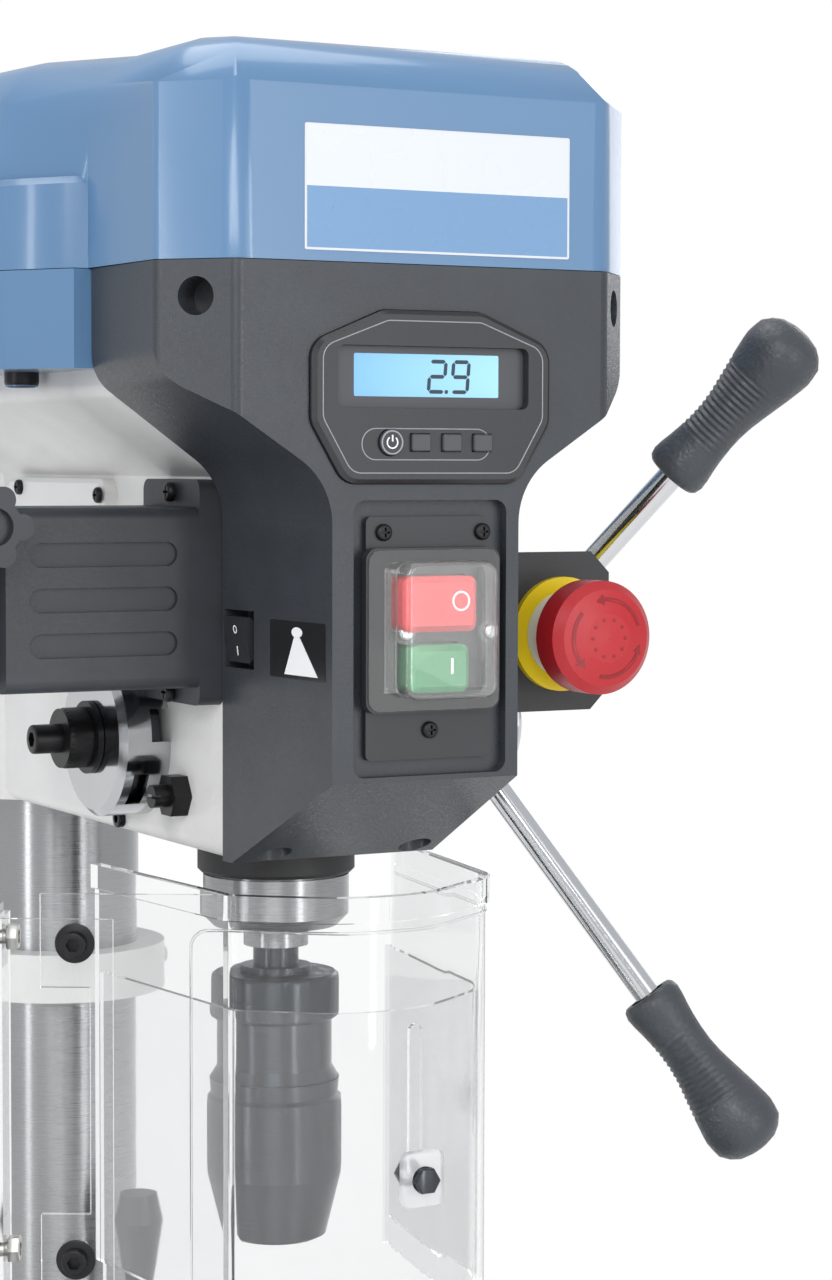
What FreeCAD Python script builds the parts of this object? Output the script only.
import FreeCAD, Part
import math
import os

# A bench drill: a cast base, a steel column, a sliding table and a cast head.
# The head carries a sprung quill with a keyless chuck, three feed levers,
# a stepped belt drive under a hinged lid, a front casing and a chuck guard.
# Millimetres. Origin: centre of the base's bolt pattern, on its underside.
# +Z is up, -Y is the front, where the operator stands, and +X is the levers' side.

# Driving sizes
BASE_WIDTH = 290.0
BASE_LENGTH = 480.0
BASE_HEIGHT = 40.0
SPINDLE_TO_COLUMN = 255.0
SPINDLE_Y = -105.0
COLUMN_RADIUS = 40.0
COLUMN_WALL = 5.0
HEAD_Z = 696.0
HEAD_HEIGHT = 204.0
TABLE_SIZE = 330.0
QUILL_TRAVEL = 85.0
TABLE_Z = 390.0
LID_HEIGHT = 88.0
PAN_HEIGHT = 40.0

# Clearances and the overrun of every through cut
RUN_GAP = 0.05
BODY_GAP = 0.3
OVERRUN = 2.0

# Base and column foot
BASE_DECK = 14.0
BASE_WALL = 10.0
BASE_RIB = 9.0
BASE_RIBS_ACROSS = 4
BASE_RIBS_ALONG = 2
BASE_CORNER = 28.0
BASE_HOLE_RADIUS = 6.0
BASE_HOLE_SPACING_X = 240.0
BASE_HOLE_SPACING_Y = 420.0
BASE_BOSS_RADIUS = 16.0
BASE_SLOT_WIDTH = 16.0
BASE_SLOT_LENGTH = 150.0
BASE_SLOT_SPACING = 120.0
BASE_SLOT_BACK = 60.0
BASE_BAND = 8.0
FOOT_RADIUS = 84.0
FOOT_PLATE = 18.0
FOOT_NECK_RADIUS = 56.0
FOOT_TOP_RADIUS = 51.0
FOOT_HEIGHT = 78.0
FOOT_BOLT_CIRCLE = 66.0
FOOT_BOLT_COUNT = 4
FOOT_BOLT_RADIUS = 6.0
FOOT_BOLT_LENGTH = 26.0
FOOT_BOLT_HEAD = 8.0
FOOT_BOLT_ACROSS = 19.0
FOOT_SIDE_share = 0.6
FOOT_SLOPE_share = 0.3

# Column, rack and the collar that keeps the rack
COLUMN_TOP_GAP = 6.0
RACK_WIDTH = 16.0
RACK_DEPTH = 12.0
RACK_MODULE = 2.0
COLLAR_RISE = 103.0
COLLAR_HEIGHT = 24.0
COLLAR_RADIUS = 54.0
COLLAR_SCREW_RADIUS = 4.0
COLLAR_SCREW_HEAD = 5.0

# Teeth
PRESSURE_ANGLE = 20.0
TOOTH_TIP_share = 0.7
TOOTH_ROOT_share = 1.0
TOOTH_BACKLASH = 0.4

# Table bracket, table, crank and lock
BRACKET_HEIGHT = 110.0
BRACKET_RADIUS = 62.0
BRACKET_DROP = 85.0
ARM_HALF_WIDTH = 34.0
ARM_TIP_HALF_WIDTH = 26.0
ARM_BELOW_PIVOT = 10.0
ARM_ROOT = 60.0
ARM_FRONT = 90.0
TILT_DISC_RADIUS = 42.0
TILT_DISC = 24.0
TILT_DROP = 60.0
TILT_PIN_RADIUS = 10.0
TILT_HEAD_RADIUS = 17.0
TILT_HEAD = 14.0
TILT_LUG_ROUND_share = 0.7
TABLE_DECK = 16.0
TABLE_SKIRT = 26.0
TABLE_WALL = 8.0
TABLE_CORNER = 22.0
TABLE_HOLE_RADIUS = 25.0
TABLE_SLOT_WIDTH = 13.0
TABLE_SLOT_LENGTH = 100.0
TABLE_SLOT_SPACING = 180.0
TABLE_CHANNEL = 7.0
TABLE_CHANNEL_INSET = 12.0
TABLE_CHANNEL_DEPTH = 3.0
PINION_TEETH = 12
PINION_HALF_WIDTH = 10.0
HOUSING_RADIUS = 24.0
HOUSING_HALF_WIDTH = 15.0
HOUSING_NOSE = 52.0
CRANK_SHAFT_RADIUS = 8.0
CRANK_ARM_X = 62.0
CRANK_ARM = 10.0
CRANK_THROW = 75.0
CRANK_HUB_RADIUS = 15.0
CRANK_END_RADIUS = 10.0
CRANK_GRIP_RADIUS = 13.0
CRANK_GRIP = 62.0
CRANK_GRIP_PLACES_share = [0.0, 0.35, 0.8, 1.0]
CRANK_GRIP_RADII_share = [0.8, 1.0, 0.9, 0.6]
LOCK_X = 14.0
LOCK_BELOW_TOP = 24.0
LOCK_HUB_RADIUS = 12.0
LOCK_HUB = 20.0
LOCK_SCREW_RADIUS = 6.0
LOCK_SCREW_DEPTH = 10.0
LOCK_STEM_RADIUS = 5.0
LOCK_LENGTH = 108.0
LOCK_GRIP = 46.0
LOCK_GRIP_RADIUS = 12.0
LOCK_GRIP_NECK = 7.0
LOCK_GRIP_BELLY_share = 0.7
LOCK_GRIP_END_share = 0.75

# Head casting
HEAD_HALF_WIDTH = 47.0
HEAD_FRONT = 48.0
HEAD_CORNER = 7.0
HEAD_FLARE_HEIGHT = 44.0
HEAD_FLARE_HALF_WIDTH = 98.0
HEAD_TOP_BAND = 10.0
HEAD_WALL = 9.0
HEAD_COLLAR_RADIUS = 66.0
HEAD_FRONT_CUT = 60.0
QUILL_HOUSING_RADIUS = 43.0
FEED_BEHIND = 42.0
FEED_RISE = 45.5
FEED_BOSS_RADIUS = 36.0
FEED_BOSS = 13.0
SLIDE_BAR_RADIUS = 8.0
SLIDE_BAR_X = 51.0
SLIDE_BAR_DROP = 30.0
CLAMP_SCREW_RISE = 40.0
CLAMP_SCREW_PITCH = 70.0
CLAMP_SCREW_RADIUS = 6.0
CLAMP_SCREW_HEAD = 9.0

# Front casing
CASING_FRONT = 137.5
CASING_WALL = 3.0
WAIST_FRONT = 42.0
WAIST_BACK = 48.0
WAIST_TOP = 158.3
SHOULDER = 106.0
SHOULDER_RISE = 200.2
WAIST_ROUND = 30.0
SHOULDER_ROUND = 18.0
FACE_HALF_WIDTH = 82.9
FACET_DEPTH = 25.3
CHIN_RISE = 40.0
CHIN_FRONT = 56.0
CASING_EDGE = 6.0
CASING_HOLE_RADIUS = 7.5
CASING_HOLE_DROP = 14.0
CASING_HOLE_DEPTH = 16.0
CHIN_HOLE_RADIUS = 7.0
CHIN_HOLE_SPACING = 66.0
CHIN_HOLE_AHEAD = 63.6
CHIN_HOLE_TOP = 20.0
CASING_SLOPE_share = 0.6

# Display, with its keys
DISPLAY_X = 1.5
DISPLAY_BOTTOM = 158.0
DISPLAY_SIDE_TOP = 213.0
DISPLAY_SIDE_BOTTOM = 182.0
DISPLAY_TOP = 226.0
DISPLAY_HALF_WIDTH = 53.5
DISPLAY_FOOT_HALF_WIDTH = 39.0
DISPLAY_ARCH = 22.0
DISPLAY_ROUND = 10.0
DISPLAY_PROUD = 3.5
DISPLAY_DEEP = 9.0
DISPLAY_LIP = 4.0
WINDOW_HALF_WIDTH = 42.8
WINDOW_BOTTOM = 187.6
WINDOW_TOP = 212.0
WINDOW_ROUND = 3.0
SCREEN = 3.0
KEY_RISE = 174.2
POWER_KEY_X = -18.4
POWER_KEY_RADIUS = 5.2
KEY_FIRST_X = -5.2
KEY_PITCH = 14.0
KEY_HALF_WIDTH = 4.2
KEY_HALF_HEIGHT = 3.4
KEY_PROUD = 1.8
KEY_TRAVEL = 1.0

# Switch panel
SWITCH_X = 1.8
SWITCH_HALF_WIDTH = 34.5
SWITCH_BOTTOM = 42.0
SWITCH_TOP = 151.5
SWITCH_DEPTH = 5.0
SWITCH_ROUND = 5.0
SWITCH_PLATE_INSET = 6.5
SWITCH_PLATE = 3.0
SWITCH_BOX_HALF_WIDTH = 26.2
SWITCH_BOX_BOTTOM = 71.5
SWITCH_BOX_TOP = 128.7
SWITCH_BOX_DEPTH = 38.0
SWITCH_FRAME_PROUD = 4.5
SWITCH_FRAME_BAR = 4.0
BUTTON_PROUD = 12.0
STOP_BUTTON_HALF_WIDTH = 16.5
STOP_BUTTON_BOTTOM = 99.5
STOP_BUTTON_TOP = 121.5
START_BUTTON_HALF_WIDTH = 13.0
START_BUTTON_BOTTOM = 75.5
START_BUTTON_TOP = 94.5
BUTTON_CHAMFER = 2.5
BUTTON_ROUND = 3.5
BUTTON_TRAVEL = 3.0

# Emergency stop
ESTOP_PLATE_BACK = 98.0
ESTOP_PLATE = 2.0
ESTOP_RIGHT = 108.5
ESTOP_BOTTOM = 62.0
ESTOP_TOP = 129.0
ESTOP_CHAMFER = 9.0
ESTOP_FLANGE = 38.0
ESTOP_X = 84.5
ESTOP_RISE = 94.5
ESTOP_RING_RADIUS = 24.0
ESTOP_RING = 3.0
ESTOP_COLLAR_RADIUS = 17.0
ESTOP_COLLAR = 10.0
ESTOP_BARREL_RADIUS = 11.0
ESTOP_BLOCK_HALF_WIDTH = 20.0
ESTOP_BLOCK = 40.0
KNOB_RADIUS = 23.5
KNOB_DEPTH = 20.0
KNOB_DOME = 3.0
KNOB_CHAMFER = 3.5
KNOB_STEM_RADIUS = 9.0
KNOB_TRAVEL = 6.0
KNOB_BACK_share = 0.86
KNOB_DOME_share = 0.8

# Lamp switch and lamp
ROCKER_BACK = 50.0
ROCKER_DEPTH_Y = 25.0
ROCKER_BOTTOM = 81.5
ROCKER_HEIGHT = 24.0
ROCKER_INSET = 2.5
ROCKER_PROUD = 2.6
ROCKER_SUNK = 5.0
ROCKER_LIP = 1.2
ROCKER_PIN_RADIUS = 1.5
ROCKER_PIN_HELD = 2.0
LAMP_BEHIND = 60.0
LAMP_RADIUS = 15.0
LAMP_BODY = 13.0
LAMP_RIM = 1.5

# Belt housing
HOUSING_WIDE = 140.0
HOUSING_NECK_X = 107.3
HOUSING_FLARE_X = 131.0
HOUSING_FLARE_Y = -10.0
HOUSING_WIDE_Y = 60.0
HOUSING_TAIL_AHEAD = 90.0
HOUSING_TAIL_X = 108.0
HOUSING_TURN_BEHIND = 40.0
HOUSING_END_X = 62.0
HOUSING_END_BEHIND = 90.0
HOUSING_FACE_ROUND = 16.0
HOUSING_EDGE_ROUND = 6.0
HOUSING_NECK_ROUND = 12.0
HOUSING_ROUND = 32.0
LID_EDGE = 20.0
LID_WALL = 3.0
RIM_STEP = 5.0
RIM_HEIGHT = 37.0
RIM_SLOPE_share = 0.6
PAN_FLOOR = 3.0
PAN_TONGUE_INSET = 26.0
HINGE_PIN_RADIUS = 3.0
HINGE_KNUCKLE_RADIUS = 6.0
HINGE_RISE = 7.0
HINGE_LENGTH = 34.0
HINGE_FIRST_Y = 110.0
HINGE_SECOND_Y = 260.0
PAN_BOLT_X = -108.0
PAN_BOLT_Y = 25.0
PAN_BOLT_HEAD_RADIUS = 7.0
PAN_BOLT_HEAD = 6.0

# Pulleys and belts
PULLEY_RISE = 10.0
PULLEY_STEP = 20.0
PULLEY_GROOVES = 4
SPINDLE_GROOVES_share = [0.55, 0.68, 0.81, 0.94]
IDLER_GROOVES_share = [0.81, 0.68, 0.55, 0.42]
MOTOR_GROOVES_share = [0.55, 0.68, 0.81, 0.94]
PULLEY_RADIUS = 72.0
PULLEY_WALL = 4.0
PULLEY_HUB_RADIUS = 22.0
BELT_WIDTH = 12.0
BELT_INNER_WIDTH = 8.0
BELT_THICK = 7.0
BELT_SUNK = 5.0
GROOVE_GAP = 0.35
FRONT_BELT_INDEX = 3
REAR_BELT_INDEX = 0
IDLER_ARM = 6.0
IDLER_ARM_RADIUS = 18.0
IDLER_POST_RADIUS = 9.0
IDLER_PIVOT_X = -44.0
IDLER_PIVOT_AHEAD = 38.0
IDLER_PIVOT_RADIUS = 8.0
IDLER_PIVOT_DEPTH = 40.0
MOTOR_SHAFT_RADIUS = 8.0

# Motor on its sliding plate
MOTOR_RADIUS = 68.0
MOTOR_HEIGHT = 190.0
MOTOR_BEHIND = 410.0
MOTOR_RIBS = 20
MOTOR_RIB = 3.0
MOTOR_RIB_HEIGHT = 5.0
MOTOR_SHIELD = 16.0
MOTOR_COWL = 38.0
MOTOR_COWL_ROUND = 10.0
MOTOR_SHAFT_GAP = 1.0
MOTOR_PLATE_HALF_WIDTH = 72.0
MOTOR_PLATE = 10.0
MOTOR_PLATE_AHEAD = 76.0
MOTOR_PLATE_BEHIND = 68.0
MOTOR_PLATE_ROUND = 12.0
MOTOR_TRAVEL = 12.0
TERMINAL_BOX_WIDTH = 62.0
TERMINAL_BOX_HEIGHT = 76.0
TERMINAL_BOX_DEPTH = 34.0
SLIDE_BAR_AHEAD = 120.0
SLIDE_BAR_HELD = 20.0

# Quill, spindle and bearings
QUILL_RADIUS = 30.0
QUILL_FLANGE_RADIUS = 32.0
QUILL_FLANGE_TOP = 13.5
QUILL_FLANGE = 22.5
QUILL_CHAMFER = 5.0
QUILL_LENGTH = 186.0
QUILL_BORE = 19.0
QUILL_SEAT_RADIUS = 23.5
QUILL_SEAT_DEPTH = 18.0
QUILL_SEAT_START = 6.0
QUILL_KEYWAY = 8.0
QUILL_KEYWAY_DEPTH = 4.0
QUILL_RACK_RUN_OUT = 12.0
RUBBER_RING_RADIUS = 34.5
RUBBER_RING = 12.5
RUBBER_RING_EDGE = 1.5
SPINDLE_NOSE = 9.0
SPINDLE_LOWER_RADIUS = 14.2
SPINDLE_LOWER = 100.0
SPINDLE_SHAFT_RADIUS = 10.0
SPINDLE_ABOVE = 28.0
SOCKET_MOUTH_RADIUS = 8.9
SOCKET_END_RADIUS = 7.1
SOCKET_DEPTH = 70.0
SPLINES = 6
SPLINE_HEIGHT = 1.5
SPLINE_WIDTH = 3.6

# Keyless chuck, from its mouth upward
CHUCK_LENGTH = 119.0
CHUCK_MOUTH_RADIUS = 20.5
CHUCK_SLEEVE_RADIUS = 28.7
CHUCK_SLEEVE_LOW = 30.0
CHUCK_SLEEVE_HIGH = 64.0
CHUCK_SLEEVE_TOP = 72.5
CHUCK_SLEEVE_TOP_RADIUS = 27.8
CHUCK_SLEEVE_EDGE = 3.0
CHUCK_CORE_RADIUS = 22.0
CHUCK_RELIEF_RADIUS = 25.2
CHUCK_BODY_RADIUS = 24.5
CHUCK_RING_RADIUS = 27.5
CHUCK_RING_LOW = 99.0
CHUCK_INNER_RING_RADIUS = 15.5
CHUCK_INNER_RING = 3.0
CHUCK_EDGE = 1.5
CHUCK_STEP = 5.0
ARBOR_RADIUS = 10.0
ARBOR_NECK = 12.0
JAW_RADIUS = 4.4
JAW_ANGLE = 16.0
JAW_LENGTH = 46.0
JAW_TRAVEL = 15.0
JAWS = 3
JAW_FIRST = 30.0
CHUCK_CORE_MOUTH = 9.0

# Feed shaft, hub, levers and return spring
FEED_TEETH = 14
FEED_MODULE = 2.0
FEED_PINION_HALF_WIDTH = 9.0
FEED_SHAFT_RADIUS = 11.0
FEED_HUB_END = 134.0
FEED_HUB_RADIUS = 29.0
FEED_NECK_RADIUS = 22.0
FEED_DIAL_RADIUS = 34.0
FEED_DIAL = 14.0
FEED_HUB_SHOULDER = 86.0
FEED_HUB_CHAMFER = 3.0
LEVER_APEX = 109.5
LEVER_CONE = 62.6
LEVER_FIRST = 124.1
LEVERS = 3
LEVER_RADIUS = 6.0
LEVER_START = 18.0
LEVER_END = 190.0
GRIP_START = 157.0
GRIP_LENGTH = 87.0
GRIP_NECK_RADIUS = 12.0
GRIP_COLLAR_RADIUS = 14.2
GRIP_WAIST_RADIUS = 11.7
GRIP_SADDLE_RADIUS = 13.8
GRIP_BELLY_RADIUS = 18.3
GRIP_SHOULDER_RADIUS = 17.2
GRIP_END_RADIUS = 10.2
GRIP_PLACES_share = [0.0, 0.05, 0.3, 0.4, 0.54, 0.81, 0.91, 0.985, 1.0]
CAP_RADIUS = 35.0
CAP_DEPTH = 23.0
CAP_WALL = 2.0
CAP_ROUND = 3.0
CAP_NOTCH = 14.0
CAP_NOTCH_DEPTH = 9.0
CAP_NUT_RADIUS = 13.0
CAP_NUT = 12.0
CAP_WASHER_RADIUS = 16.0
CAP_WASHER = 2.5
CAP_SCREW_RADIUS = 6.0
CAP_SCREW_HEAD = 10.0
CAP_STUD_RADIUS = 4.0
SPRING_TURNS = 4
SPRING_STEPS = 16
SPRING_THICK = 1.4
SPRING_WIDTH = 14.0
SPRING_INNER_RADIUS = 11.6
SPRING_OUTER_RADIUS = 31.5
GUIDE_SCREW_Y = -5.5
GUIDE_SCREW_RISE = 23.5
GUIDE_SCREW_RADIUS = 5.0
GUIDE_SCREW_PROUD = 15.0
GUIDE_NUT_ACROSS = 17.0
GUIDE_NUT = 8.0
GUIDE_SLOT = 1.6
GUIDE_SLOT_DEPTH = 2.5

# Guard arm box, side cover and guard
BOX_OUTER = 143.0
BOX_TOP = 147.7
BOX_BOTTOM = 72.5
BOX_BACK = 10.0
BOX_FRONT = 47.5
BOX_ROUND = 5.0
BOX_FLANGE = 11.0
BOX_FLANGE_TOP = 159.0
BOX_FLANGE_BOTTOM = 65.0
BOX_FLANGE_BACK = 11.0
BOX_RIB_WIDTH = 10.0
BOX_RIB_DEPTH = 2.0
BOX_RIB_INSET = 10.0
BOX_RIBS = 3
COVER_START = 66.0
COVER_LENGTH = 118.0
COVER_TOP = 158.5
COVER_BOTTOM = 86.0
COVER_THICK = 8.0
COVER_ROUND = 6.0
COVER_BEVEL = 2.0
ROD_X = -155.0
ROD_FORWARD = 20.0
ROD_RADIUS = 6.0
ROD_BOTTOM = 182.0
ROD_ABOVE = 30.0
CLAMP_RADIUS = 15.0
CLAMP_BOTTOM = 76.0
CLAMP_TOP = 162.0
CLAMP_NOSE_RADIUS = 9.0
CLAMP_NOSE = 34.0
STAR_RISE = 140.5
STAR_RADIUS = 16.5
STAR_LOBES = 5
STAR_LOBE_RADIUS = 5.2
STAR_THICK = 14.0
STAR_RECESS_RADIUS = 7.6
STAR_RECESS = 4.0
STAR_STUD_RADIUS = 4.0
GUARD_RIM = 10.0
GUARD_HEIGHT = 176.0
GUARD_WALL = 3.0
GUARD_ROUND = 10.0
GUARD_NOSE_ROUND = 50.0
GUARD_SIDE_ROUND = 34.0
GUARD_BAND = 10.5
GUARD_BAND_PROUD = 2.0
GUARD_NOSE_Y = 109.0
GUARD_NOSE_LEFT = -20.0
GUARD_NOSE_RIGHT = 18.0
GUARD_CORNER_LEFT_X = -59.0
GUARD_CORNER_LEFT_Y = 77.0
GUARD_CORNER_RIGHT_X = 66.0
GUARD_CORNER_RIGHT_Y = 76.0
GUARD_LEG_LEFT_X = -70.0
GUARD_LEG_LEFT_Y = 38.0
GUARD_LEG_RIGHT_X = 84.5
GUARD_LEG_RIGHT_Y = 46.0
GUARD_WING = 77.0
GUARD_WING_ANGLE = 150.0
GUARD_INNER_DROP = 48.0
GUARD_INNER_BELOW = 12.0
GUARD_INNER_WALL = 2.5
GUARD_INNER_GAP = 0.4
GUARD_SLOT_WIDTH = 7.0
GUARD_NOSE_BOLT_X = 13.5
GUARD_NOSE_BOLT_RISE = 58.0
GUARD_INNER_TRAVEL = 60.0
GUARD_BOLT_RISE = 25.0
GUARD_BOLT_DROP = 20.0
GUARD_TAB = 37.0
GUARD_TAB_START = 56.6
STRAP = 2.5
STRAP_START = 47.5
STRAP_END = 96.0
STRAP_FLANGE = 24.0
LUG = 3.0
LUG_HEIGHT = 26.0
GUARD_BOLT_RADIUS = 3.0

# Places that follow from the driving sizes
COLUMN_Y = SPINDLE_Y + SPINDLE_TO_COLUMN
HEAD_TOP = HEAD_Z + HEAD_HEIGHT
PAN_Z = HEAD_TOP
SEAM_Z = PAN_Z + PAN_HEIGHT
LID_TOP = SEAM_Z + LID_HEIGHT
FEED_Y = SPINDLE_Y + FEED_BEHIND
FEED_Z = HEAD_Z + FEED_RISE
FOOT_TOP = BASE_HEIGHT + FOOT_HEIGHT
COLLAR_Z = HEAD_Z - COLLAR_RISE
QUILL_NOSE_Z = HEAD_Z - QUILL_FLANGE_TOP - QUILL_FLANGE
CHUCK_TOP = QUILL_NOSE_Z - SPINDLE_NOSE - ARBOR_NECK
CHUCK_Z = CHUCK_TOP - CHUCK_LENGTH
BRACKET_Z = TABLE_Z - BRACKET_DROP
TILT_Z = TABLE_Z - TILT_DROP
CRANK_Z = BRACKET_Z + BRACKET_HEIGHT / 2
RACK_FACE = COLUMN_Y + COLUMN_RADIUS + BODY_GAP
RACK_PITCH_Y = RACK_FACE + RACK_DEPTH - RACK_MODULE * TOOTH_TIP_share
PINION_RADIUS = RACK_MODULE * PINION_TEETH / 2
CRANK_Y = RACK_PITCH_Y + PINION_RADIUS
FEED_PINION_RADIUS = FEED_MODULE * FEED_TEETH / 2
ROD_Y = SPINDLE_Y - ROD_FORWARD
PULLEY_Z = PAN_Z + PULLEY_RISE
IDLER_BEHIND = MOTOR_BEHIND / 2
MOTOR_PLATE_FRONT = MOTOR_BEHIND - MOTOR_PLATE_AHEAD
MOTOR_PLATE_BACK = MOTOR_BEHIND + MOTOR_PLATE_BEHIND
SLIDE_BAR_Z = HEAD_TOP - SLIDE_BAR_DROP
MOTOR_TOP = SLIDE_BAR_Z - MOTOR_PLATE / 2
HOUSING_TAIL_Y = MOTOR_BEHIND - HOUSING_TAIL_AHEAD
HOUSING_TURN_Y = MOTOR_BEHIND + HOUSING_TURN_BEHIND
HOUSING_END_Y = MOTOR_BEHIND + HOUSING_END_BEHIND
GUARD_TOP_Z = HEAD_Z - GUARD_RIM
GUARD_BOTTOM_Z = GUARD_TOP_Z - GUARD_HEIGHT


# Small helpers for points, plain solids and outlines
def vec(x, y, z):
    return FreeCAD.Vector(x, y, z)


def block(x0, x1, y0, y1, z0, z1):
    return Part.makeBox(x1 - x0, y1 - y0, z1 - z0, vec(x0, y0, z0))


def cylinder(start, direction, radius, length):
    return Part.makeCylinder(radius, length, start, direction)


def along_x(y, z, radius, x0, x1):
    return cylinder(vec(x0, y, z), vec(1, 0, 0), radius, x1 - x0)


def along_y(x, z, radius, y0, y1):
    return cylinder(vec(x, y0, z), vec(0, 1, 0), radius, y1 - y0)


def along_z(x, y, radius, z0, z1):
    return cylinder(vec(x, y, z0), vec(0, 0, 1), radius, z1 - z0)


def join(shapes):
    result = shapes[0]
    for shape in shapes[1:]:
        result = result.fuse(shape)
    return result.removeSplitter()


def group(shapes):
    return Part.makeCompound(shapes)


def carve(body, tools):
    for tool in tools:
        body = body.cut(tool)
    return body


def revolve(profile, start, direction):
    # The profile lists (radius, distance along the axis from start).
    side = vec(0, 0, 1).cross(direction)
    if side.Length < RUN_GAP:
        side = vec(1, 0, 0)
    side.normalize()
    points = [start + side * r + direction * s for r, s in profile]
    face = Part.Face(Part.makePolygon(points + [points[0]]))
    return face.revolve(start, direction, 360)


def turned(profile, x, y, z=0):
    return revolve(profile, vec(x, y, z), vec(0, 0, 1))


def unit(a, b):
    length = math.hypot(b[0] - a[0], b[1] - a[1])
    return ((b[0] - a[0]) / length, (b[1] - a[1]) / length)


def corner_cut(before, corner, after, radius):
    # The two ends and the middle of the arc that rounds one corner.
    back = unit(corner, before)
    ahead = unit(corner, after)
    cosine = back[0] * ahead[0] + back[1] * ahead[1]
    half = math.acos(max(-1, min(1, cosine))) / 2
    reach = radius / math.tan(half)
    middle = radius / math.sin(half) - radius
    blend = (back[0] + ahead[0], back[1] + ahead[1])
    size = math.hypot(blend[0], blend[1])
    first = (corner[0] + back[0] * reach, corner[1] + back[1] * reach)
    last = (corner[0] + ahead[0] * reach, corner[1] + ahead[1] * reach)
    mid = (corner[0] + blend[0] / size * middle, corner[1] + blend[1] / size * middle)
    return first, mid, last


def loop_edges(points, radii, place):
    # Edges of a closed outline whose corners are rounded where a radius is given.
    count = len(points)
    cuts = []
    for i in range(count):
        if radii[i] > 0:
            cuts.append(corner_cut(points[i - 1], points[i], points[(i + 1) % count], radii[i]))
        else:
            cuts.append((points[i], None, points[i]))
    edges = []
    for i in range(count):
        first, mid, last = cuts[i]
        following = cuts[(i + 1) % count][0]
        if mid is not None:
            edges.append(Part.Arc(place(first), place(mid), place(last)).toShape())
        if math.hypot(following[0] - last[0], following[1] - last[1]) > OVERRUN / 1000:
            edges.append(Part.makeLine(place(last), place(following)))
    return edges


def radii_for(points, radius):
    if isinstance(radius, (list, tuple)):
        return list(radius)
    return [radius] * len(points)


def slab_xy(points, radius, z0, z1):
    edges = loop_edges(points, radii_for(points, radius), lambda p: vec(p[0], p[1], z0))
    return Part.Face(Part.Wire(edges)).extrude(vec(0, 0, z1 - z0))


def slab_xz(points, radius, y0, y1):
    edges = loop_edges(points, radii_for(points, radius), lambda p: vec(p[0], y0, p[1]))
    return Part.Face(Part.Wire(edges)).extrude(vec(0, y1 - y0, 0))


def slab_yz(points, radius, x0, x1):
    edges = loop_edges(points, radii_for(points, radius), lambda p: vec(x0, p[0], p[1]))
    return Part.Face(Part.Wire(edges)).extrude(vec(x1 - x0, 0, 0))


def rectangle(u0, u1, v0, v1):
    return [(u0, v0), (u1, v0), (u1, v1), (u0, v1)]


def slot_points(u, v, length, width):
    return rectangle(u - length / 2, u + length / 2, v - width / 2, v + width / 2)


def crossing(p, d, q, e):
    # Where the line through p along d meets the line through q along e.
    bottom = d[0] * e[1] - d[1] * e[0]
    step = ((q[0] - p[0]) * e[1] - (q[1] - p[1]) * e[0]) / bottom
    return (p[0] + d[0] * step, p[1] + d[1] * step)


def inset(points, distance):
    # A counter-clockwise outline with every side moved inwards by the distance.
    count = len(points)
    lines = []
    for i in range(count):
        a = points[i]
        d = unit(a, points[(i + 1) % count])
        lines.append(((a[0] - d[1] * distance, a[1] + d[0] * distance), d))
    return [crossing(lines[i - 1][0], lines[i - 1][1], lines[i][0], lines[i][1]) for i in range(count)]


def mirrored(half):
    # A half outline from bottom to top on +X, closed by its own mirror image.
    return half + [(-x, z) for x, z in reversed(half)]


def hexagon(x, y, across):
    reach = across / math.sqrt(3)
    return [(x + reach * math.cos(math.pi * k / 3), y + reach * math.sin(math.pi * k / 3)) for k in range(6)]


def edges_at(shape, test):
    return [edge for edge in shape.Edges if test(edge)]


def gear_points(teeth, module, first_angle):
    # Involute flanks drawn through five radii, with the backlash taken from each tooth.
    pitch = teeth * module / 2
    tip = pitch + module * TOOTH_TIP_share
    root = pitch - module * TOOTH_ROOT_share
    base = pitch * math.cos(math.radians(PRESSURE_ANGLE))
    at_pitch = (math.pi * module / 2 - TOOTH_BACKLASH) / 2 / pitch
    slope = math.tan(math.radians(PRESSURE_ANGLE)) - math.radians(PRESSURE_ANGLE)

    def half_angle(radius):
        if radius <= base:
            return at_pitch + slope
        lean = math.acos(base / radius)
        return at_pitch + slope - (math.tan(lean) - lean)

    radii = [root, base, (base + pitch) / 2, pitch, (pitch + tip) / 2, tip]
    points = []
    for k in range(teeth):
        centre = first_angle + 2 * math.pi * k / teeth
        for r in radii:
            points.append((r * math.cos(centre - half_angle(r)), r * math.sin(centre - half_angle(r))))
        for r in reversed(radii):
            points.append((r * math.cos(centre + half_angle(r)), r * math.sin(centre + half_angle(r))))
    return points


def rack_points(back, pitch_line, outward, module, bottom, top, gap_at):
    # A toothed strip in (y, z). outward is +1 or -1, the way the teeth point.
    step = math.pi * module
    lean = math.tan(math.radians(PRESSURE_ANGLE))
    tip = pitch_line + outward * module * TOOTH_TIP_share
    root = pitch_line - outward * module * TOOTH_ROOT_share
    half = (step / 2 - TOOTH_BACKLASH) / 2
    tip_half = half - module * TOOTH_TIP_share * lean
    root_half = half + module * TOOTH_ROOT_share * lean
    first = math.ceil((bottom - gap_at) / step)
    points = [(back, bottom), (root, bottom)]
    k = first
    while gap_at + (k + 0.5) * step + root_half < top:
        z = gap_at + (k + 0.5) * step
        if z - root_half > bottom:
            points += [(root, z - root_half), (tip, z - tip_half), (tip, z + tip_half), (root, z + root_half)]
        k += 1
    return points + [(root, top), (back, top)]


# Base and column
def base_outline(shrink):
    half_x = BASE_WIDTH / 2 - shrink
    half_y = BASE_LENGTH / 2 - shrink
    return rectangle(-half_x, half_x, -half_y, half_y)


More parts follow.
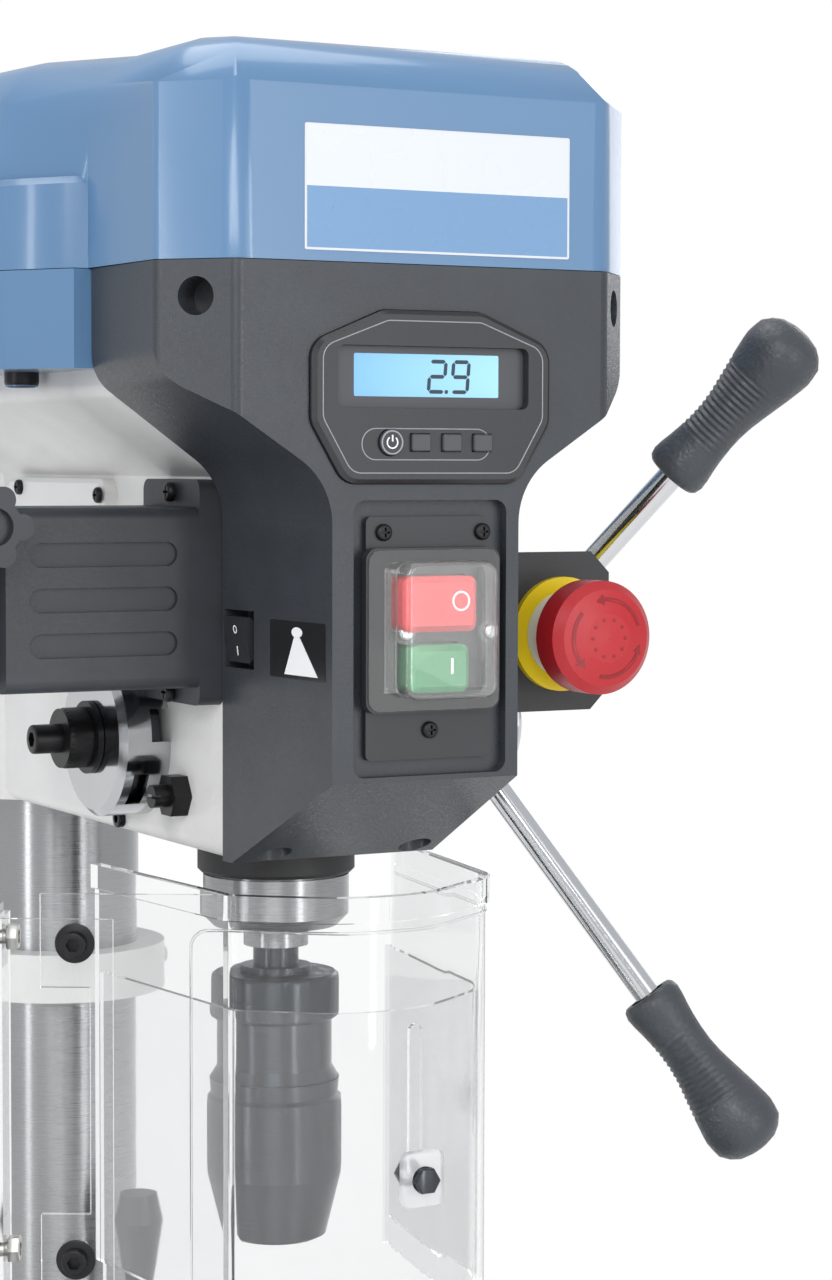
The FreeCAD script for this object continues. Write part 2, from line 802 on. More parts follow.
def make_base():
    body = slab_xy(base_outline(0), BASE_CORNER, 0, BASE_HEIGHT - BASE_BAND)
    deck = slab_xy(base_outline(BASE_BAND), BASE_CORNER - BASE_BAND, BASE_HEIGHT - BASE_BAND, BASE_HEIGHT)
    hollow = slab_xy(base_outline(BASE_WALL), BASE_CORNER - BASE_WALL, -OVERRUN, BASE_HEIGHT - BASE_DECK)
    shell = body.fuse(deck).cut(hollow)
    parts = [shell]
    inner_x = BASE_WIDTH / 2 - BASE_WALL
    inner_y = BASE_LENGTH / 2 - BASE_WALL
    for k in range(BASE_RIBS_ACROSS):
        y = -inner_y + 2 * inner_y * (k + 1) / (BASE_RIBS_ACROSS + 1)
        parts.append(block(-inner_x, inner_x, y - BASE_RIB / 2, y + BASE_RIB / 2, 0, BASE_HEIGHT - BASE_DECK))
    for k in range(BASE_RIBS_ALONG):
        x = -inner_x + 2 * inner_x * (k + 1) / (BASE_RIBS_ALONG + 1)
        parts.append(block(x - BASE_RIB / 2, x + BASE_RIB / 2, -inner_y, inner_y, 0, BASE_HEIGHT - BASE_DECK))
    cuts = []
    for x in (-BASE_HOLE_SPACING_X / 2, BASE_HOLE_SPACING_X / 2):
        for y in (-BASE_HOLE_SPACING_Y / 2, BASE_HOLE_SPACING_Y / 2):
            parts.append(along_z(x, y, BASE_BOSS_RADIUS, 0, BASE_HEIGHT - BASE_DECK))
            cuts.append(along_z(x, y, BASE_HOLE_RADIUS, -OVERRUN, BASE_HEIGHT + OVERRUN))
    slot_y = -BASE_LENGTH / 2 + BASE_SLOT_BACK + BASE_SLOT_LENGTH / 2
    wall = BASE_SLOT_WIDTH + 2 * BASE_RIB
    for x in (-BASE_SLOT_SPACING / 2, BASE_SLOT_SPACING / 2):
        frame = rectangle(x - wall / 2, x + wall / 2, slot_y - BASE_SLOT_LENGTH / 2 - BASE_RIB,
                          slot_y + BASE_SLOT_LENGTH / 2 + BASE_RIB)
        parts.append(slab_xy(frame, 0, 0, BASE_HEIGHT - BASE_DECK))
        opening = rectangle(x - BASE_SLOT_WIDTH / 2, x + BASE_SLOT_WIDTH / 2,
                            slot_y - BASE_SLOT_LENGTH / 2, slot_y + BASE_SLOT_LENGTH / 2)
        cuts.append(slab_xy(opening, BASE_SLOT_WIDTH / 2, -OVERRUN, BASE_HEIGHT + OVERRUN))
    for x, y in foot_bolt_places():
        parts.append(along_z(x, y, BASE_BOSS_RADIUS, 0, BASE_HEIGHT - BASE_DECK))
        cuts.append(along_z(x, y, FOOT_BOLT_RADIUS, BASE_HEIGHT - FOOT_BOLT_LENGTH + FOOT_PLATE,
                            BASE_HEIGHT + OVERRUN))
    return carve(join(parts), cuts)


def foot_bolt_places():
    places = []
    for k in range(FOOT_BOLT_COUNT):
        angle = 2 * math.pi * (k + 0.5) / FOOT_BOLT_COUNT
        places.append((FOOT_BOLT_CIRCLE * math.cos(angle), COLUMN_Y + FOOT_BOLT_CIRCLE * math.sin(angle)))
    return places


def make_column_foot():
    z = BASE_HEIGHT
    profile = [(COLUMN_RADIUS, z), (FOOT_RADIUS, z), (FOOT_RADIUS, z + FOOT_PLATE * FOOT_SIDE_share),
               (FOOT_RADIUS - FOOT_PLATE * FOOT_SLOPE_share, z + FOOT_PLATE), (FOOT_NECK_RADIUS, z + FOOT_PLATE),
               (FOOT_TOP_RADIUS, z + FOOT_HEIGHT), (COLUMN_RADIUS, z + FOOT_HEIGHT)]
    foot = turned(profile, 0, COLUMN_Y)
    for x, y in foot_bolt_places():
        foot = foot.cut(along_z(x, y, FOOT_BOLT_RADIUS, z - OVERRUN, z + FOOT_HEIGHT))
        foot = foot.cut(along_z(x, y, FOOT_BOLT_ACROSS / 2 + OVERRUN, z + FOOT_PLATE, z + FOOT_HEIGHT))
    return foot


def make_foot_bolts():
    bolts = []
    for x, y in foot_bolt_places():
        z = BASE_HEIGHT + FOOT_PLATE
        head = slab_xy(hexagon(x, y, FOOT_BOLT_ACROSS), 0, z, z + FOOT_BOLT_HEAD)
        bolts.append(head.fuse(along_z(x, y, FOOT_BOLT_RADIUS, z - FOOT_BOLT_LENGTH, z)).removeSplitter())
    return group(bolts)


def make_column():
    top = HEAD_TOP - COLUMN_TOP_GAP
    outer = along_z(0, COLUMN_Y, COLUMN_RADIUS, BASE_HEIGHT, top)
    return outer.cut(along_z(0, COLUMN_Y, COLUMN_RADIUS - COLUMN_WALL, BASE_HEIGHT - OVERRUN, top + OVERRUN))


def make_column_rack():
    profile = rack_points(RACK_FACE, RACK_PITCH_Y, 1, RACK_MODULE, FOOT_TOP + BODY_GAP, COLLAR_Z - BODY_GAP, CRANK_Z)
    return slab_yz(profile, 0, -RACK_WIDTH / 2, RACK_WIDTH / 2)


def make_rack_collar():
    top = COLLAR_Z + COLLAR_HEIGHT
    ring = along_z(0, COLUMN_Y, COLLAR_RADIUS, COLLAR_Z, top)
    ring = ring.cut(along_z(0, COLUMN_Y, COLUMN_RADIUS, COLLAR_Z - OVERRUN, top + OVERRUN))
    middle = (COLLAR_Z + top) / 2
    head = along_x(COLUMN_Y, middle, COLLAR_SCREW_RADIUS, COLLAR_RADIUS - OVERRUN, COLLAR_RADIUS + COLLAR_SCREW_HEAD)
    return join([ring, head])


# Table bracket, table, crank and lock
def make_table_bracket():
    top = BRACKET_Z + BRACKET_HEIGHT
    arm_back = COLUMN_Y - COLUMN_RADIUS
    arm_front = SPINDLE_Y + ARM_FRONT
    disc_front = arm_front - TILT_DISC
    arm_low = TILT_Z - TILT_DISC_RADIUS
    arm_high = TILT_Z - ARM_BELOW_PIVOT
    behind_table = SPINDLE_Y + TABLE_SIZE / 2 + OVERRUN
    plan = [(-ARM_TIP_HALF_WIDTH, disc_front), (ARM_TIP_HALF_WIDTH, disc_front),
            (ARM_HALF_WIDTH, arm_back), (-ARM_HALF_WIDTH, arm_back)]
    side = [(arm_back, BRACKET_Z), (arm_back, BRACKET_Z + ARM_ROOT), (behind_table, arm_high),
            (disc_front, arm_high), (disc_front, arm_low), (arm_front, arm_low)]
    arm = slab_xy(plan, 0, arm_low, top).common(slab_yz(side, 0, -ARM_HALF_WIDTH - OVERRUN, ARM_HALF_WIDTH + OVERRUN))
    parts = [along_z(0, COLUMN_Y, BRACKET_RADIUS, BRACKET_Z, top), arm]
    parts.append(along_y(0, TILT_Z, TILT_DISC_RADIUS, disc_front, arm_front))
    parts.append(along_x(CRANK_Y, CRANK_Z, HOUSING_RADIUS, -HOUSING_HALF_WIDTH, HOUSING_HALF_WIDTH))
    parts.append(along_x(CRANK_Y, CRANK_Z, CRANK_HUB_RADIUS, 0, HOUSING_NOSE))
    cuts = [along_z(0, COLUMN_Y, COLUMN_RADIUS + RUN_GAP, BRACKET_Z - OVERRUN, top + OVERRUN)]
    rack_side = RACK_WIDTH / 2 + BODY_GAP
    rack_back = RACK_FACE + RACK_DEPTH + BODY_GAP
    cuts.append(block(-rack_side, rack_side, COLUMN_Y, rack_back, BRACKET_Z - OVERRUN, top + OVERRUN))
    gear_side = PINION_HALF_WIDTH + BODY_GAP
    cuts.append(along_x(CRANK_Y, CRANK_Z, PINION_RADIUS + RACK_MODULE + BODY_GAP, -gear_side, gear_side))
    cuts.append(along_x(CRANK_Y, CRANK_Z, CRANK_SHAFT_RADIUS + RUN_GAP, 0, HOUSING_NOSE + OVERRUN))
    face = COLUMN_Y - BRACKET_RADIUS
    cuts.append(along_y(LOCK_X, lock_z(), LOCK_SCREW_RADIUS + RUN_GAP, face - OVERRUN, COLUMN_Y))
    body = carve(join(parts), cuts)
    pin_end = disc_front - TILT_DISC - BODY_GAP
    pin = along_y(0, TILT_Z, TILT_PIN_RADIUS, pin_end, disc_front)
    head = slab_xz(hexagon(0, TILT_Z, 2 * TILT_HEAD_RADIUS), 0, pin_end - TILT_HEAD, pin_end)
    return join([body, pin, head])


def lock_z():
    return BRACKET_Z + BRACKET_HEIGHT - LOCK_BELOW_TOP


def table_outline(shrink):
    half = TABLE_SIZE / 2 - shrink
    return rectangle(-half, half, SPINDLE_Y - half, SPINDLE_Y + half)


def make_work_table():
    under = TABLE_Z - TABLE_DECK
    deck = slab_xy(table_outline(0), TABLE_CORNER, under, TABLE_Z)
    skirt = slab_xy(table_outline(TABLE_WALL), TABLE_CORNER - TABLE_WALL, under - TABLE_SKIRT, under)
    hollow = slab_xy(table_outline(2 * TABLE_WALL), TABLE_CORNER - 2 * TABLE_WALL, under - TABLE_SKIRT - OVERRUN, under)
    lug_back = SPINDLE_Y + ARM_FRONT - TILT_DISC - BODY_GAP
    lug_front = lug_back - TILT_DISC + 2 * BODY_GAP
    lug_round = TILT_DISC_RADIUS * TILT_LUG_ROUND_share
    lug_points = [(-TILT_DISC_RADIUS, under), (-TILT_DISC_RADIUS, TILT_Z - TILT_DISC_RADIUS),
                  (TILT_DISC_RADIUS, TILT_Z - TILT_DISC_RADIUS), (TILT_DISC_RADIUS, under)]
    lug = slab_xz(lug_points, [0, lug_round, lug_round, 0], lug_front, lug_back)
    body = join([deck, skirt.cut(hollow), lug])
    cuts = [along_y(0, TILT_Z, TILT_PIN_RADIUS + RUN_GAP, lug_front - OVERRUN, lug_back + OVERRUN)]
    cuts.append(along_z(0, SPINDLE_Y, TABLE_HOLE_RADIUS, under - OVERRUN, TABLE_Z + OVERRUN))
    for x in (-TABLE_SLOT_SPACING / 2, TABLE_SLOT_SPACING / 2):
        for y in (-TABLE_SLOT_SPACING / 2, TABLE_SLOT_SPACING / 2):
            points = slot_points(x, SPINDLE_Y + y, TABLE_SLOT_LENGTH, TABLE_SLOT_WIDTH)
            cuts.append(slab_xy(points, TABLE_SLOT_WIDTH / 2, under - OVERRUN, TABLE_Z + OVERRUN))
    outer = slab_xy(table_outline(TABLE_CHANNEL_INSET), TABLE_CORNER - TABLE_CHANNEL_INSET / 2,
                    TABLE_Z - TABLE_CHANNEL_DEPTH, TABLE_Z + OVERRUN)
    inner = slab_xy(table_outline(TABLE_CHANNEL_INSET + TABLE_CHANNEL), TABLE_CORNER - TABLE_CHANNEL_INSET,
                    TABLE_Z - TABLE_CHANNEL_DEPTH - OVERRUN, TABLE_Z + 2 * OVERRUN)
    cuts.append(outer.cut(inner))
    return carve(body, cuts)


def make_table_crank():
    teeth = gear_points(PINION_TEETH, RACK_MODULE, math.pi)
    pinion = slab_yz([(CRANK_Y + y, CRANK_Z + z) for y, z in teeth], 0, -PINION_HALF_WIDTH, PINION_HALF_WIDTH)
    shaft = along_x(CRANK_Y, CRANK_Z, CRANK_SHAFT_RADIUS, 0, CRANK_ARM_X + CRANK_ARM)
    hub = along_x(CRANK_Y, CRANK_Z, CRANK_HUB_RADIUS, HOUSING_NOSE + BODY_GAP, CRANK_ARM_X + CRANK_ARM)
    end_z = CRANK_Z - CRANK_THROW
    end = along_x(CRANK_Y, end_z, CRANK_END_RADIUS, CRANK_ARM_X, CRANK_ARM_X + CRANK_ARM)
    arm = slab_yz([(CRANK_Y - CRANK_HUB_RADIUS, CRANK_Z), (CRANK_Y - CRANK_END_RADIUS, end_z),
                   (CRANK_Y + CRANK_END_RADIUS, end_z), (CRANK_Y + CRANK_HUB_RADIUS, CRANK_Z)], 0,
                  CRANK_ARM_X, CRANK_ARM_X + CRANK_ARM)
    start = CRANK_ARM_X + CRANK_ARM
    profile = [(CRANK_GRIP_RADIUS * radius, CRANK_GRIP * place)
               for radius, place in zip(CRANK_GRIP_RADII_share, CRANK_GRIP_PLACES_share)]
    grip = revolve([(0, 0)] + profile + [(0, CRANK_GRIP)], vec(start, CRANK_Y, end_z), vec(1, 0, 0))
    return join([pinion, shaft, hub, arm, end, grip])


def make_table_lock():
    z = lock_z()
    face = COLUMN_Y - BRACKET_RADIUS - BODY_GAP
    hub = along_y(LOCK_X, z, LOCK_HUB_RADIUS, face - LOCK_HUB, face)
    screw = along_y(LOCK_X, z, LOCK_SCREW_RADIUS, face, face + BODY_GAP + LOCK_SCREW_DEPTH)
    middle = face - LOCK_HUB / 2
    stem = along_z(LOCK_X, middle, LOCK_STEM_RADIUS, z, z + LOCK_LENGTH - LOCK_GRIP / 2)
    grip_z = z + LOCK_LENGTH - LOCK_GRIP
    belly_z = grip_z + LOCK_GRIP * LOCK_GRIP_BELLY_share
    end = LOCK_GRIP_RADIUS * LOCK_GRIP_END_share
    grip = turned([(0, grip_z), (LOCK_GRIP_NECK, grip_z), (LOCK_GRIP_RADIUS, belly_z),
                   (end, grip_z + LOCK_GRIP), (0, grip_z + LOCK_GRIP)], LOCK_X, middle)
    return join([hub, screw, stem, grip])


# Head casting
def head_profile():
    flare = HEAD_FLARE_HALF_WIDTH
    low = HEAD_TOP - HEAD_FLARE_HEIGHT
    return mirrored([(HEAD_HALF_WIDTH, HEAD_Z), (HEAD_HALF_WIDTH, low), (flare, HEAD_TOP - HEAD_TOP_BAND),
                     (flare, HEAD_TOP)])


def make_head_casting():
    front = SPINDLE_Y - HEAD_FRONT
    profile = head_profile()
    corner = [HEAD_CORNER, 0, HEAD_CORNER, 0, 0, HEAD_CORNER, 0, HEAD_CORNER]
    arm = slab_xz(profile, corner, front, COLUMN_Y)
    collar = along_z(0, COLUMN_Y, HEAD_COLLAR_RADIUS, HEAD_Z, HEAD_TOP)
    boss_right = along_x(FEED_Y, FEED_Z, FEED_BOSS_RADIUS, 0, HEAD_HALF_WIDTH + FEED_BOSS)
    body = arm.fuse([collar, boss_right])
    inner = HEAD_HALF_WIDTH - HEAD_WALL
    hollow = block(-inner, inner, front + HEAD_WALL, COLUMN_Y - HEAD_COLLAR_RADIUS, HEAD_Z + HEAD_WALL,
                   HEAD_TOP - HEAD_WALL)
    barrel = along_z(0, SPINDLE_Y, QUILL_HOUSING_RADIUS, HEAD_Z - OVERRUN, HEAD_TOP)
    shaft_tube = along_x(FEED_Y, FEED_Z, FEED_BOSS_RADIUS - HEAD_CORNER, -HEAD_HALF_WIDTH, HEAD_HALF_WIDTH)
    hollow = hollow.cut(barrel).cut(shaft_tube)
    bore_top = HEAD_TOP + OVERRUN
    cuts = [hollow]
    cuts.append(along_z(0, SPINDLE_Y, QUILL_RADIUS + RUN_GAP, HEAD_Z - OVERRUN, bore_top))
    cuts.append(along_z(0, COLUMN_Y, COLUMN_RADIUS, HEAD_Z - OVERRUN, HEAD_TOP - COLUMN_TOP_GAP))
    cuts.append(along_x(FEED_Y, FEED_Z, FEED_SHAFT_RADIUS + RUN_GAP, -HEAD_HALF_WIDTH - OVERRUN,
                        HEAD_HALF_WIDTH + FEED_BOSS + OVERRUN))
    room = FEED_PINION_RADIUS + FEED_MODULE + BODY_GAP
    side = FEED_PINION_HALF_WIDTH + BODY_GAP
    cuts.append(along_x(FEED_Y, FEED_Z, room, -side, side))
    cuts.append(along_x(SPINDLE_Y + GUIDE_SCREW_Y, HEAD_Z + GUIDE_SCREW_RISE, GUIDE_SCREW_RADIUS,
                        -HEAD_HALF_WIDTH - OVERRUN, -QUILL_BORE))
    for x in (-SLIDE_BAR_X, SLIDE_BAR_X):
        cuts.append(along_y(x, SLIDE_BAR_Z, SLIDE_BAR_RADIUS + RUN_GAP,
                            SPINDLE_Y + MOTOR_PLATE_FRONT - SLIDE_BAR_AHEAD - MOTOR_TRAVEL - OVERRUN,
                            COLUMN_Y + HEAD_COLLAR_RADIUS + OVERRUN))
    cuts.append(along_z(IDLER_PIVOT_X, idler_pivot_y(), IDLER_PIVOT_RADIUS, PAN_Z - IDLER_PIVOT_DEPTH,
                        HEAD_TOP + OVERRUN))
    cuts.append(along_z(0, SPINDLE_Y + LAMP_BEHIND, LAMP_RADIUS, HEAD_Z - OVERRUN, HEAD_Z + LAMP_BODY))
    for z in clamp_screw_heights():
        cuts.append(along_x(COLUMN_Y, z, CLAMP_SCREW_RADIUS, 0, HEAD_COLLAR_RADIUS + OVERRUN))
    return carve(body, cuts)


def clamp_screw_heights():
    first = HEAD_Z + CLAMP_SCREW_RISE
    return [first, first + CLAMP_SCREW_PITCH]


# Front casing
def casing_outline(shrink, waist):
    # Front view, counter-clockwise from the lower left, drawn about the spindle axis.
    top = SEAM_Z + (OVERRUN if shrink > 0 else 0)
    bottom = HEAD_Z - (OVERRUN if shrink > 0 else 0)
    lean = shrink * CASING_SLOPE_share
    right = [(waist - shrink, bottom), (waist - shrink, HEAD_Z + WAIST_TOP + lean),
             (SHOULDER - shrink, HEAD_Z + SHOULDER_RISE + lean), (SHOULDER - shrink, top)]
    return mirrored(right)


def casing_block(shrink):
    rounds = [0, WAIST_ROUND + shrink, SHOULDER_ROUND - shrink, 0, 0, SHOULDER_ROUND - shrink, WAIST_ROUND + shrink, 0]
    front = SPINDLE_Y - CASING_FRONT + shrink
    back = SPINDLE_Y - HEAD_FRONT - BODY_GAP + (OVERRUN if shrink > 0 else 0)
    wires = []
    for y, waist in ((front, WAIST_FRONT), (back, WAIST_BACK)):
        edges = loop_edges(casing_outline(shrink, waist), rounds, lambda p: vec(p[0], y, p[1]))
        wires.append(Part.Wire(edges))
    body = Part.makeLoft(wires, True, True)
    plan = inset([(-SHOULDER, back + shrink), (-SHOULDER, front - shrink + FACET_DEPTH),
                  (-FACE_HALF_WIDTH, front - shrink), (FACE_HALF_WIDTH, front - shrink),
                  (SHOULDER, front - shrink + FACET_DEPTH), (SHOULDER, back + shrink)], shrink)
    rounding = [0, CASING_EDGE, CASING_EDGE, CASING_EDGE, CASING_EDGE, 0]
    plan_slab = slab_xy(plan, rounding, HEAD_Z - 2 * OVERRUN, SEAM_Z + 2 * OVERRUN)
    crease_z = HEAD_Z + CHIN_RISE + shrink * CASING_SLOPE_share
    chin_y = SPINDLE_Y - CHIN_FRONT + shrink
    lowest = HEAD_Z + (shrink if shrink > 0 else 0)
    side = [(front, crease_z), (chin_y, lowest), (back, lowest), (back, SEAM_Z + 2 * OVERRUN),
            (front, SEAM_Z + 2 * OVERRUN)]
    side_slab = slab_yz(side, 0, -SHOULDER - OVERRUN, SHOULDER + OVERRUN)
    return body.common(plan_slab).common(side_slab)


def display_outline(shrink):
    bottom = HEAD_Z + DISPLAY_BOTTOM + shrink
    half = DISPLAY_HALF_WIDTH - shrink
    foot = DISPLAY_FOOT_HALF_WIDTH - shrink
    right = [(foot, bottom), (half, HEAD_Z + DISPLAY_SIDE_BOTTOM), (half, HEAD_Z + DISPLAY_SIDE_TOP),
             (DISPLAY_ARCH, HEAD_Z + DISPLAY_TOP - shrink)]
    return [(DISPLAY_X + x, z) for x, z in mirrored(right)]


def switch_outline(shrink):
    half = SWITCH_HALF_WIDTH - shrink
    return rectangle(SWITCH_X - half, SWITCH_X + half, HEAD_Z + SWITCH_BOTTOM + shrink, HEAD_Z + SWITCH_TOP - shrink)


def switch_box_outline(grow):
    return rectangle(SWITCH_X - SWITCH_BOX_HALF_WIDTH - grow, SWITCH_X + SWITCH_BOX_HALF_WIDTH + grow,
                     HEAD_Z + SWITCH_BOX_BOTTOM - grow, HEAD_Z + SWITCH_BOX_TOP + grow)


def casing_hole_places():
    # Fixing holes on the two facets, each with its direction into the casing.
    run = SHOULDER - FACE_HALF_WIDTH
    size = math.hypot(run, FACET_DEPTH)
    y = SPINDLE_Y - CASING_FRONT + FACET_DEPTH / 2
    x = (SHOULDER + FACE_HALF_WIDTH) / 2
    z = SEAM_Z - CASING_HOLE_DROP
    return [(vec(-x, y, z), vec(FACET_DEPTH / size, run / size, 0)),
            (vec(x, y, z), vec(-FACET_DEPTH / size, run / size, 0))]


def chin_holes(grow):
    # Fixing holes that run up into the casing from its sloping chin.
    y = SPINDLE_Y - CHIN_HOLE_AHEAD
    top = HEAD_Z + CHIN_HOLE_TOP + grow
    return [along_z(SWITCH_X + side * CHIN_HOLE_SPACING / 2, y, CHIN_HOLE_RADIUS + grow, HEAD_Z - OVERRUN, top)
            for side in (-1, 1)]


def make_front_casing():
    front = SPINDLE_Y - CASING_FRONT
    outer = casing_block(0)
    inner = casing_block(CASING_WALL)
    shell = outer.cut(inner)
    solids = [shell]
    pad_depth = DISPLAY_DEEP + CASING_WALL
    pad = slab_xz(display_outline(-CASING_WALL), DISPLAY_ROUND, front, front + pad_depth)
    solids.append(pad.common(outer))
    tray = slab_xz(switch_outline(-CASING_WALL), SWITCH_ROUND, front, front + SWITCH_DEPTH + CASING_WALL)
    solids.append(tray.common(outer))
    rocker_y0 = SPINDLE_Y - ROCKER_BACK - ROCKER_DEPTH_Y
    rocker_z0 = HEAD_Z + ROCKER_BOTTOM
    pocket_wall = block(-WAIST_BACK, -WAIST_FRONT + ROCKER_SUNK + CASING_WALL, rocker_y0 - CASING_WALL,
                        rocker_y0 + ROCKER_DEPTH_Y + CASING_WALL, rocker_z0 - CASING_WALL,
                        rocker_z0 + ROCKER_HEIGHT + CASING_WALL)
    solids.append(pocket_wall.common(outer))
    for place, into in casing_hole_places():
        solids.append(cylinder(place, into, CASING_HOLE_RADIUS + CASING_WALL / 2,
                               CASING_HOLE_DEPTH + CASING_WALL).common(outer))
    for post in chin_holes(CASING_WALL / 2):
        solids.append(post.common(outer))
    body = join(solids)
    cuts = [slab_xz(display_outline(-BODY_GAP), DISPLAY_ROUND, front - OVERRUN, front + DISPLAY_DEEP + BODY_GAP)]
    cuts.append(slab_xz(switch_outline(0), SWITCH_ROUND, front - OVERRUN, front + SWITCH_DEPTH))
    cuts.append(slab_xz(switch_box_outline(BODY_GAP), 0, front - OVERRUN, front + SWITCH_BOX_DEPTH))
    cuts.append(block(-SHOULDER, -WAIST_FRONT + ROCKER_SUNK, rocker_y0, rocker_y0 + ROCKER_DEPTH_Y,
                      rocker_z0, rocker_z0 + ROCKER_HEIGHT))
    for place, into in casing_hole_places():
        cuts.append(cylinder(place - into * OVERRUN, into, CASING_HOLE_RADIUS, CASING_HOLE_DEPTH + OVERRUN))
    cuts += chin_holes(0)
    pin_x, pin_z = rocker_axis()
    cuts.append(along_y(pin_x, pin_z, ROCKER_PIN_RADIUS + RUN_GAP, rocker_y0 - ROCKER_PIN_HELD - RUN_GAP,
                        rocker_y0 + ROCKER_DEPTH_Y + ROCKER_PIN_HELD + RUN_GAP))
    cuts.append(boss_room())
    return carve(body, cuts)


def boss_room():
    # Clears the quill's barrel where it stands forward of the head.
    return along_z(0, SPINDLE_Y, QUILL_FLANGE_RADIUS + CASING_WALL, HEAD_Z - OVERRUN, HEAD_Z + QUILL_FLANGE)


# Display and keys
def key_places():
    return [KEY_FIRST_X + KEY_PITCH * k for k in range(3)]


def key_room(x, gap):
    z = HEAD_Z + KEY_RISE
    return rectangle(x - KEY_HALF_WIDTH - gap, x + KEY_HALF_WIDTH + gap, z - KEY_HALF_HEIGHT - gap,
                     z + KEY_HALF_HEIGHT + gap)


def display_front():
    return SPINDLE_Y - CASING_FRONT - DISPLAY_PROUD


def make_display_surround():
    face = display_front()
    back = SPINDLE_Y - CASING_FRONT + DISPLAY_DEEP
    body = slab_xz(display_outline(0), DISPLAY_ROUND, face, back)
    bevel = edges_at(body, lambda e: e.BoundBox.YMax < face + BODY_GAP)
    body = body.makeChamfer(DISPLAY_PROUD / 2, bevel)
    window = rectangle(DISPLAY_X - WINDOW_HALF_WIDTH, DISPLAY_X + WINDOW_HALF_WIDTH, HEAD_Z + WINDOW_BOTTOM,
                       HEAD_Z + WINDOW_TOP)
    cuts = [slab_xz(window, WINDOW_ROUND, face - OVERRUN, face + SCREEN + DISPLAY_LIP)]
    for x in key_places():
        cuts.append(slab_xz(key_room(x, BODY_GAP), 0, face - OVERRUN, face + DISPLAY_LIP + KEY_TRAVEL))
    cuts.append(along_y(POWER_KEY_X, HEAD_Z + KEY_RISE, POWER_KEY_RADIUS + BODY_GAP, face - OVERRUN,
                        face + DISPLAY_LIP + KEY_TRAVEL))
    return carve(body, cuts)


def make_display_screen():
    face = display_front() + DISPLAY_LIP
    window = inset(rectangle(DISPLAY_X - WINDOW_HALF_WIDTH, DISPLAY_X + WINDOW_HALF_WIDTH, HEAD_Z + WINDOW_BOTTOM,
                             HEAD_Z + WINDOW_TOP), BODY_GAP / 3)
    return slab_xz(window, WINDOW_ROUND, face, face + SCREEN)


def make_key(x):
    face = display_front()
    body = slab_xz(key_room(x, 0), KEY_HALF_HEIGHT / 3, face - KEY_PROUD, face + DISPLAY_LIP - BODY_GAP)
    return body.makeChamfer(KEY_PROUD / 4, edges_at(body, lambda e: e.BoundBox.YMax < face - KEY_PROUD / 2))


def make_power_key():
    face = display_front()
    start = vec(POWER_KEY_X, face - KEY_PROUD, HEAD_Z + KEY_RISE)
    edge = KEY_PROUD / 3
    length = KEY_PROUD + DISPLAY_LIP - BODY_GAP
    return revolve([(0, 0), (POWER_KEY_RADIUS - edge, 0), (POWER_KEY_RADIUS, edge), (POWER_KEY_RADIUS, length),
                    (0, length)], start, vec(0, 1, 0))


# Switch panel and its two buttons
def button_room(half, bottom, top, gap):
    return rectangle(SWITCH_X - half - gap, SWITCH_X + half + gap, HEAD_Z + bottom - gap, HEAD_Z + top + gap)


def stop_room(gap):
    return button_room(STOP_BUTTON_HALF_WIDTH, STOP_BUTTON_BOTTOM, STOP_BUTTON_TOP, gap)


def start_room(gap):
    return button_room(START_BUTTON_HALF_WIDTH, START_BUTTON_BOTTOM, START_BUTTON_TOP, gap)


def plate_face():
    return SPINDLE_Y - CASING_FRONT + SWITCH_DEPTH - SWITCH_PLATE


def make_switch_plate():
    face = plate_face()
    back = SPINDLE_Y - CASING_FRONT + SWITCH_DEPTH
    plate = slab_xz(switch_outline(SWITCH_PLATE_INSET), SWITCH_ROUND / 2, face, back)
    box = slab_xz(switch_box_outline(0), 0, face, back + SWITCH_BOX_DEPTH - SWITCH_DEPTH)
    frame = slab_xz(switch_box_outline(SWITCH_FRAME_BAR), SWITCH_ROUND, face - SWITCH_FRAME_PROUD, face)
    well = slab_xz(inset(switch_box_outline(0), SWITCH_FRAME_BAR), 0, face - SWITCH_FRAME_PROUD - OVERRUN, face)
    body = join([plate, box, frame.cut(well)])
    depth = face + BUTTON_TRAVEL * 4
    cuts = [slab_xz(stop_room(BODY_GAP), 0, face - OVERRUN, depth), slab_xz(start_room(BODY_GAP), 0, face - OVERRUN, depth)]
    return carve(body, cuts)


def make_button(outline):
    face = plate_face()
    front = face - BUTTON_PROUD
    body = slab_xz(outline, BUTTON_ROUND, front, face + BUTTON_TRAVEL * 3 - BODY_GAP)
    return body.makeChamfer(BUTTON_CHAMFER, edges_at(body, lambda e: e.BoundBox.YMax < front + BODY_GAP))


# Emergency stop on its bracket
def waist_at(y):
    # Half width of the casing's waist at a depth.
    front = SPINDLE_Y - CASING_FRONT
    back = SPINDLE_Y - HEAD_FRONT - BODY_GAP
    return WAIST_FRONT + (WAIST_BACK - WAIST_FRONT) * (y - front) / (back - front)


